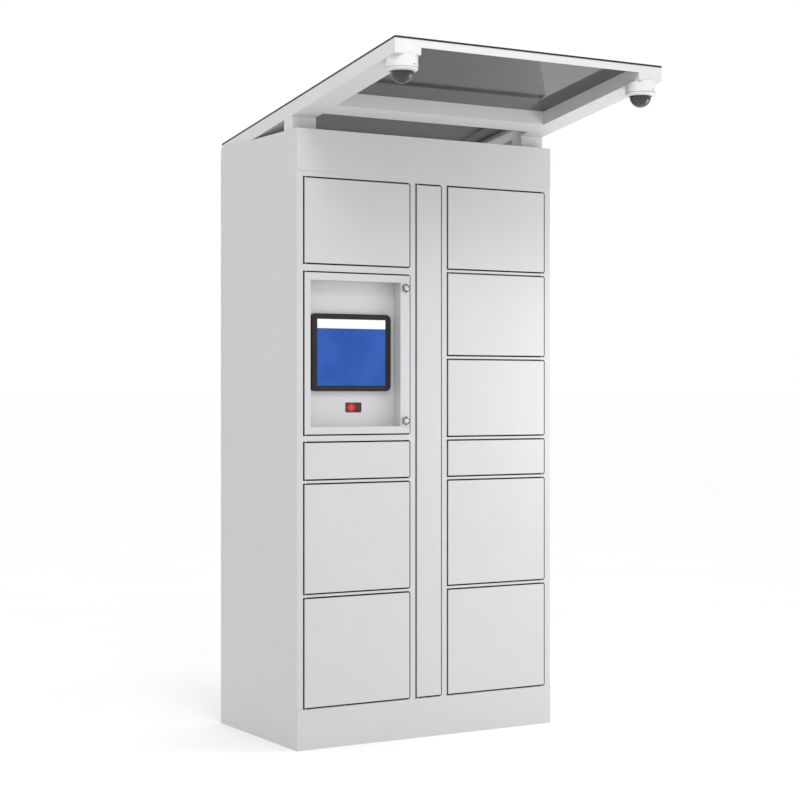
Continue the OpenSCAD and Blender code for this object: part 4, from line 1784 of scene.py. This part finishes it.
@dataclass
class Studio:
    """Plain floor, even daylight, three soft lights and the camera."""

    eye: Triple = (-3.1544, -5.4687, 1.1602)
    turn_deg: float = -30.4357
    lens_mm: float = 80.877
    sensor_mm: float = 36.0
    shift_y: float = -0.00958
    floor_half: float = 400.0
    sky: float = 1.0
    lamps: tuple[Lamp, ...] = (
        Lamp("broad_light", (0.9, 0.9), 14.0, (1.7, -1.35, 1.2), (0.2, -0.29, 1.15)),
        Lamp("canopy_light", (1.1, 0.5), 21.0, (-0.75, -2.1, 3.35), (-0.05, -0.9, 2.17)),
        Lamp("bay_light", (0.8, 0.36), 0.8, (0.0, -0.04, 2.066), (0.0, -0.0546, 1.966), mirrored=False),
    )

    def build(self) -> None:
        """Sets the scene around the locker."""
        bpy.context.scene.view_settings.view_transform = "Standard"
        self._floor()
        self._sky()
        for lamp in self.lamps:
            self._light(lamp)
        self._camera()

    @staticmethod
    def _stand(name: str, data: bpy.types.ID, place: Triple = (0.0, 0.0, 0.0)) -> bpy.types.Object:
        """Puts a mesh, light or camera into the scene.

        Args:
            name: The object's name.
            data: What it holds.
            place: Where it stands.

        Returns:
            The object.
        """
        stood = bpy.data.objects.new(name, data)
        stood.location = place
        bpy.context.scene.collection.objects.link(stood)
        return stood

    def _floor(self) -> None:
        """Lays the floor."""
        shape = bmesh.new()
        half = self.floor_half
        corners = ((-half, -half), (half, -half), (half, half), (-half, half))
        shape.faces.new([shape.verts.new((x, y, 0.0)) for x, y in corners])
        data = bpy.data.meshes.new("floor")
        shape.to_mesh(data)
        shape.free()
        data.materials.append(PaleFloor("pale_floor", grey(254), grey(252)).material())
        self._stand("floor", data)

    def _sky(self) -> None:
        """Surrounds the scene with even white light."""
        world = bpy.data.worlds.new("even_light")
        world.use_nodes = True
        backdrop = world.node_tree.nodes["Background"]
        backdrop.inputs["Color"].default_value = (1.0, 1.0, 1.0, 1.0)
        backdrop.inputs["Strength"].default_value = self.sky
        bpy.context.scene.world = world

    def _light(self, lamp: Lamp) -> None:
        """Hangs one soft light.

        Args:
            lamp: The light's size, strength and place.
        """
        data = bpy.data.lights.new(lamp.name, "AREA")
        data.shape = "RECTANGLE"
        data.size, data.size_y = lamp.size
        data.energy = lamp.watts
        hung = self._stand(lamp.name, data, lamp.start)
        hung.rotation_euler = (Vector(lamp.aim) - Vector(lamp.start)).to_track_quat("-Z", "Y").to_euler()
        hung.visible_camera = False
        hung.visible_glossy = lamp.mirrored

    def _camera(self) -> None:
        """Stands the camera up."""
        lens = bpy.data.cameras.new("viewpoint")
        lens.lens = self.lens_mm
        lens.sensor_width = self.sensor_mm
        lens.shift_y = self.shift_y
        lens.clip_end = self.floor_half * 3
        stood = self._stand("viewpoint", lens, self.eye)
        stood.rotation_euler = (math.radians(90), 0.0, math.radians(self.turn_deg))
        bpy.context.scene.camera = stood


def hang_doors(paint: Paintshop) -> None:
    """Builds every compartment door and the service door.

    Args:
        paint: Where finishes come from.
    """
    for node in nodes_with("_door_"):
        FoldedDoor(node, Hinge.LEFT if node.startswith("left") else Hinge.RIGHT).build(paint)
    FoldedDoor("service_door", Hinge.LEFT, tab=False).build(paint)


def main() -> None:
    """Builds the studio and then the locker's looks, piece by piece."""
    logging.basicConfig(level=logging.INFO, format="%(message)s")
    Studio().build()
    paint = Paintshop()
    Carcass().build(paint)
    ServiceBay().build(paint)
    hang_doors(paint)
    TerminalDoor().build(paint)
    CamLocks().build(paint)
    Canopy().build(paint)
    CameraPair().build(paint)


if __name__ == "__main__":
    main()
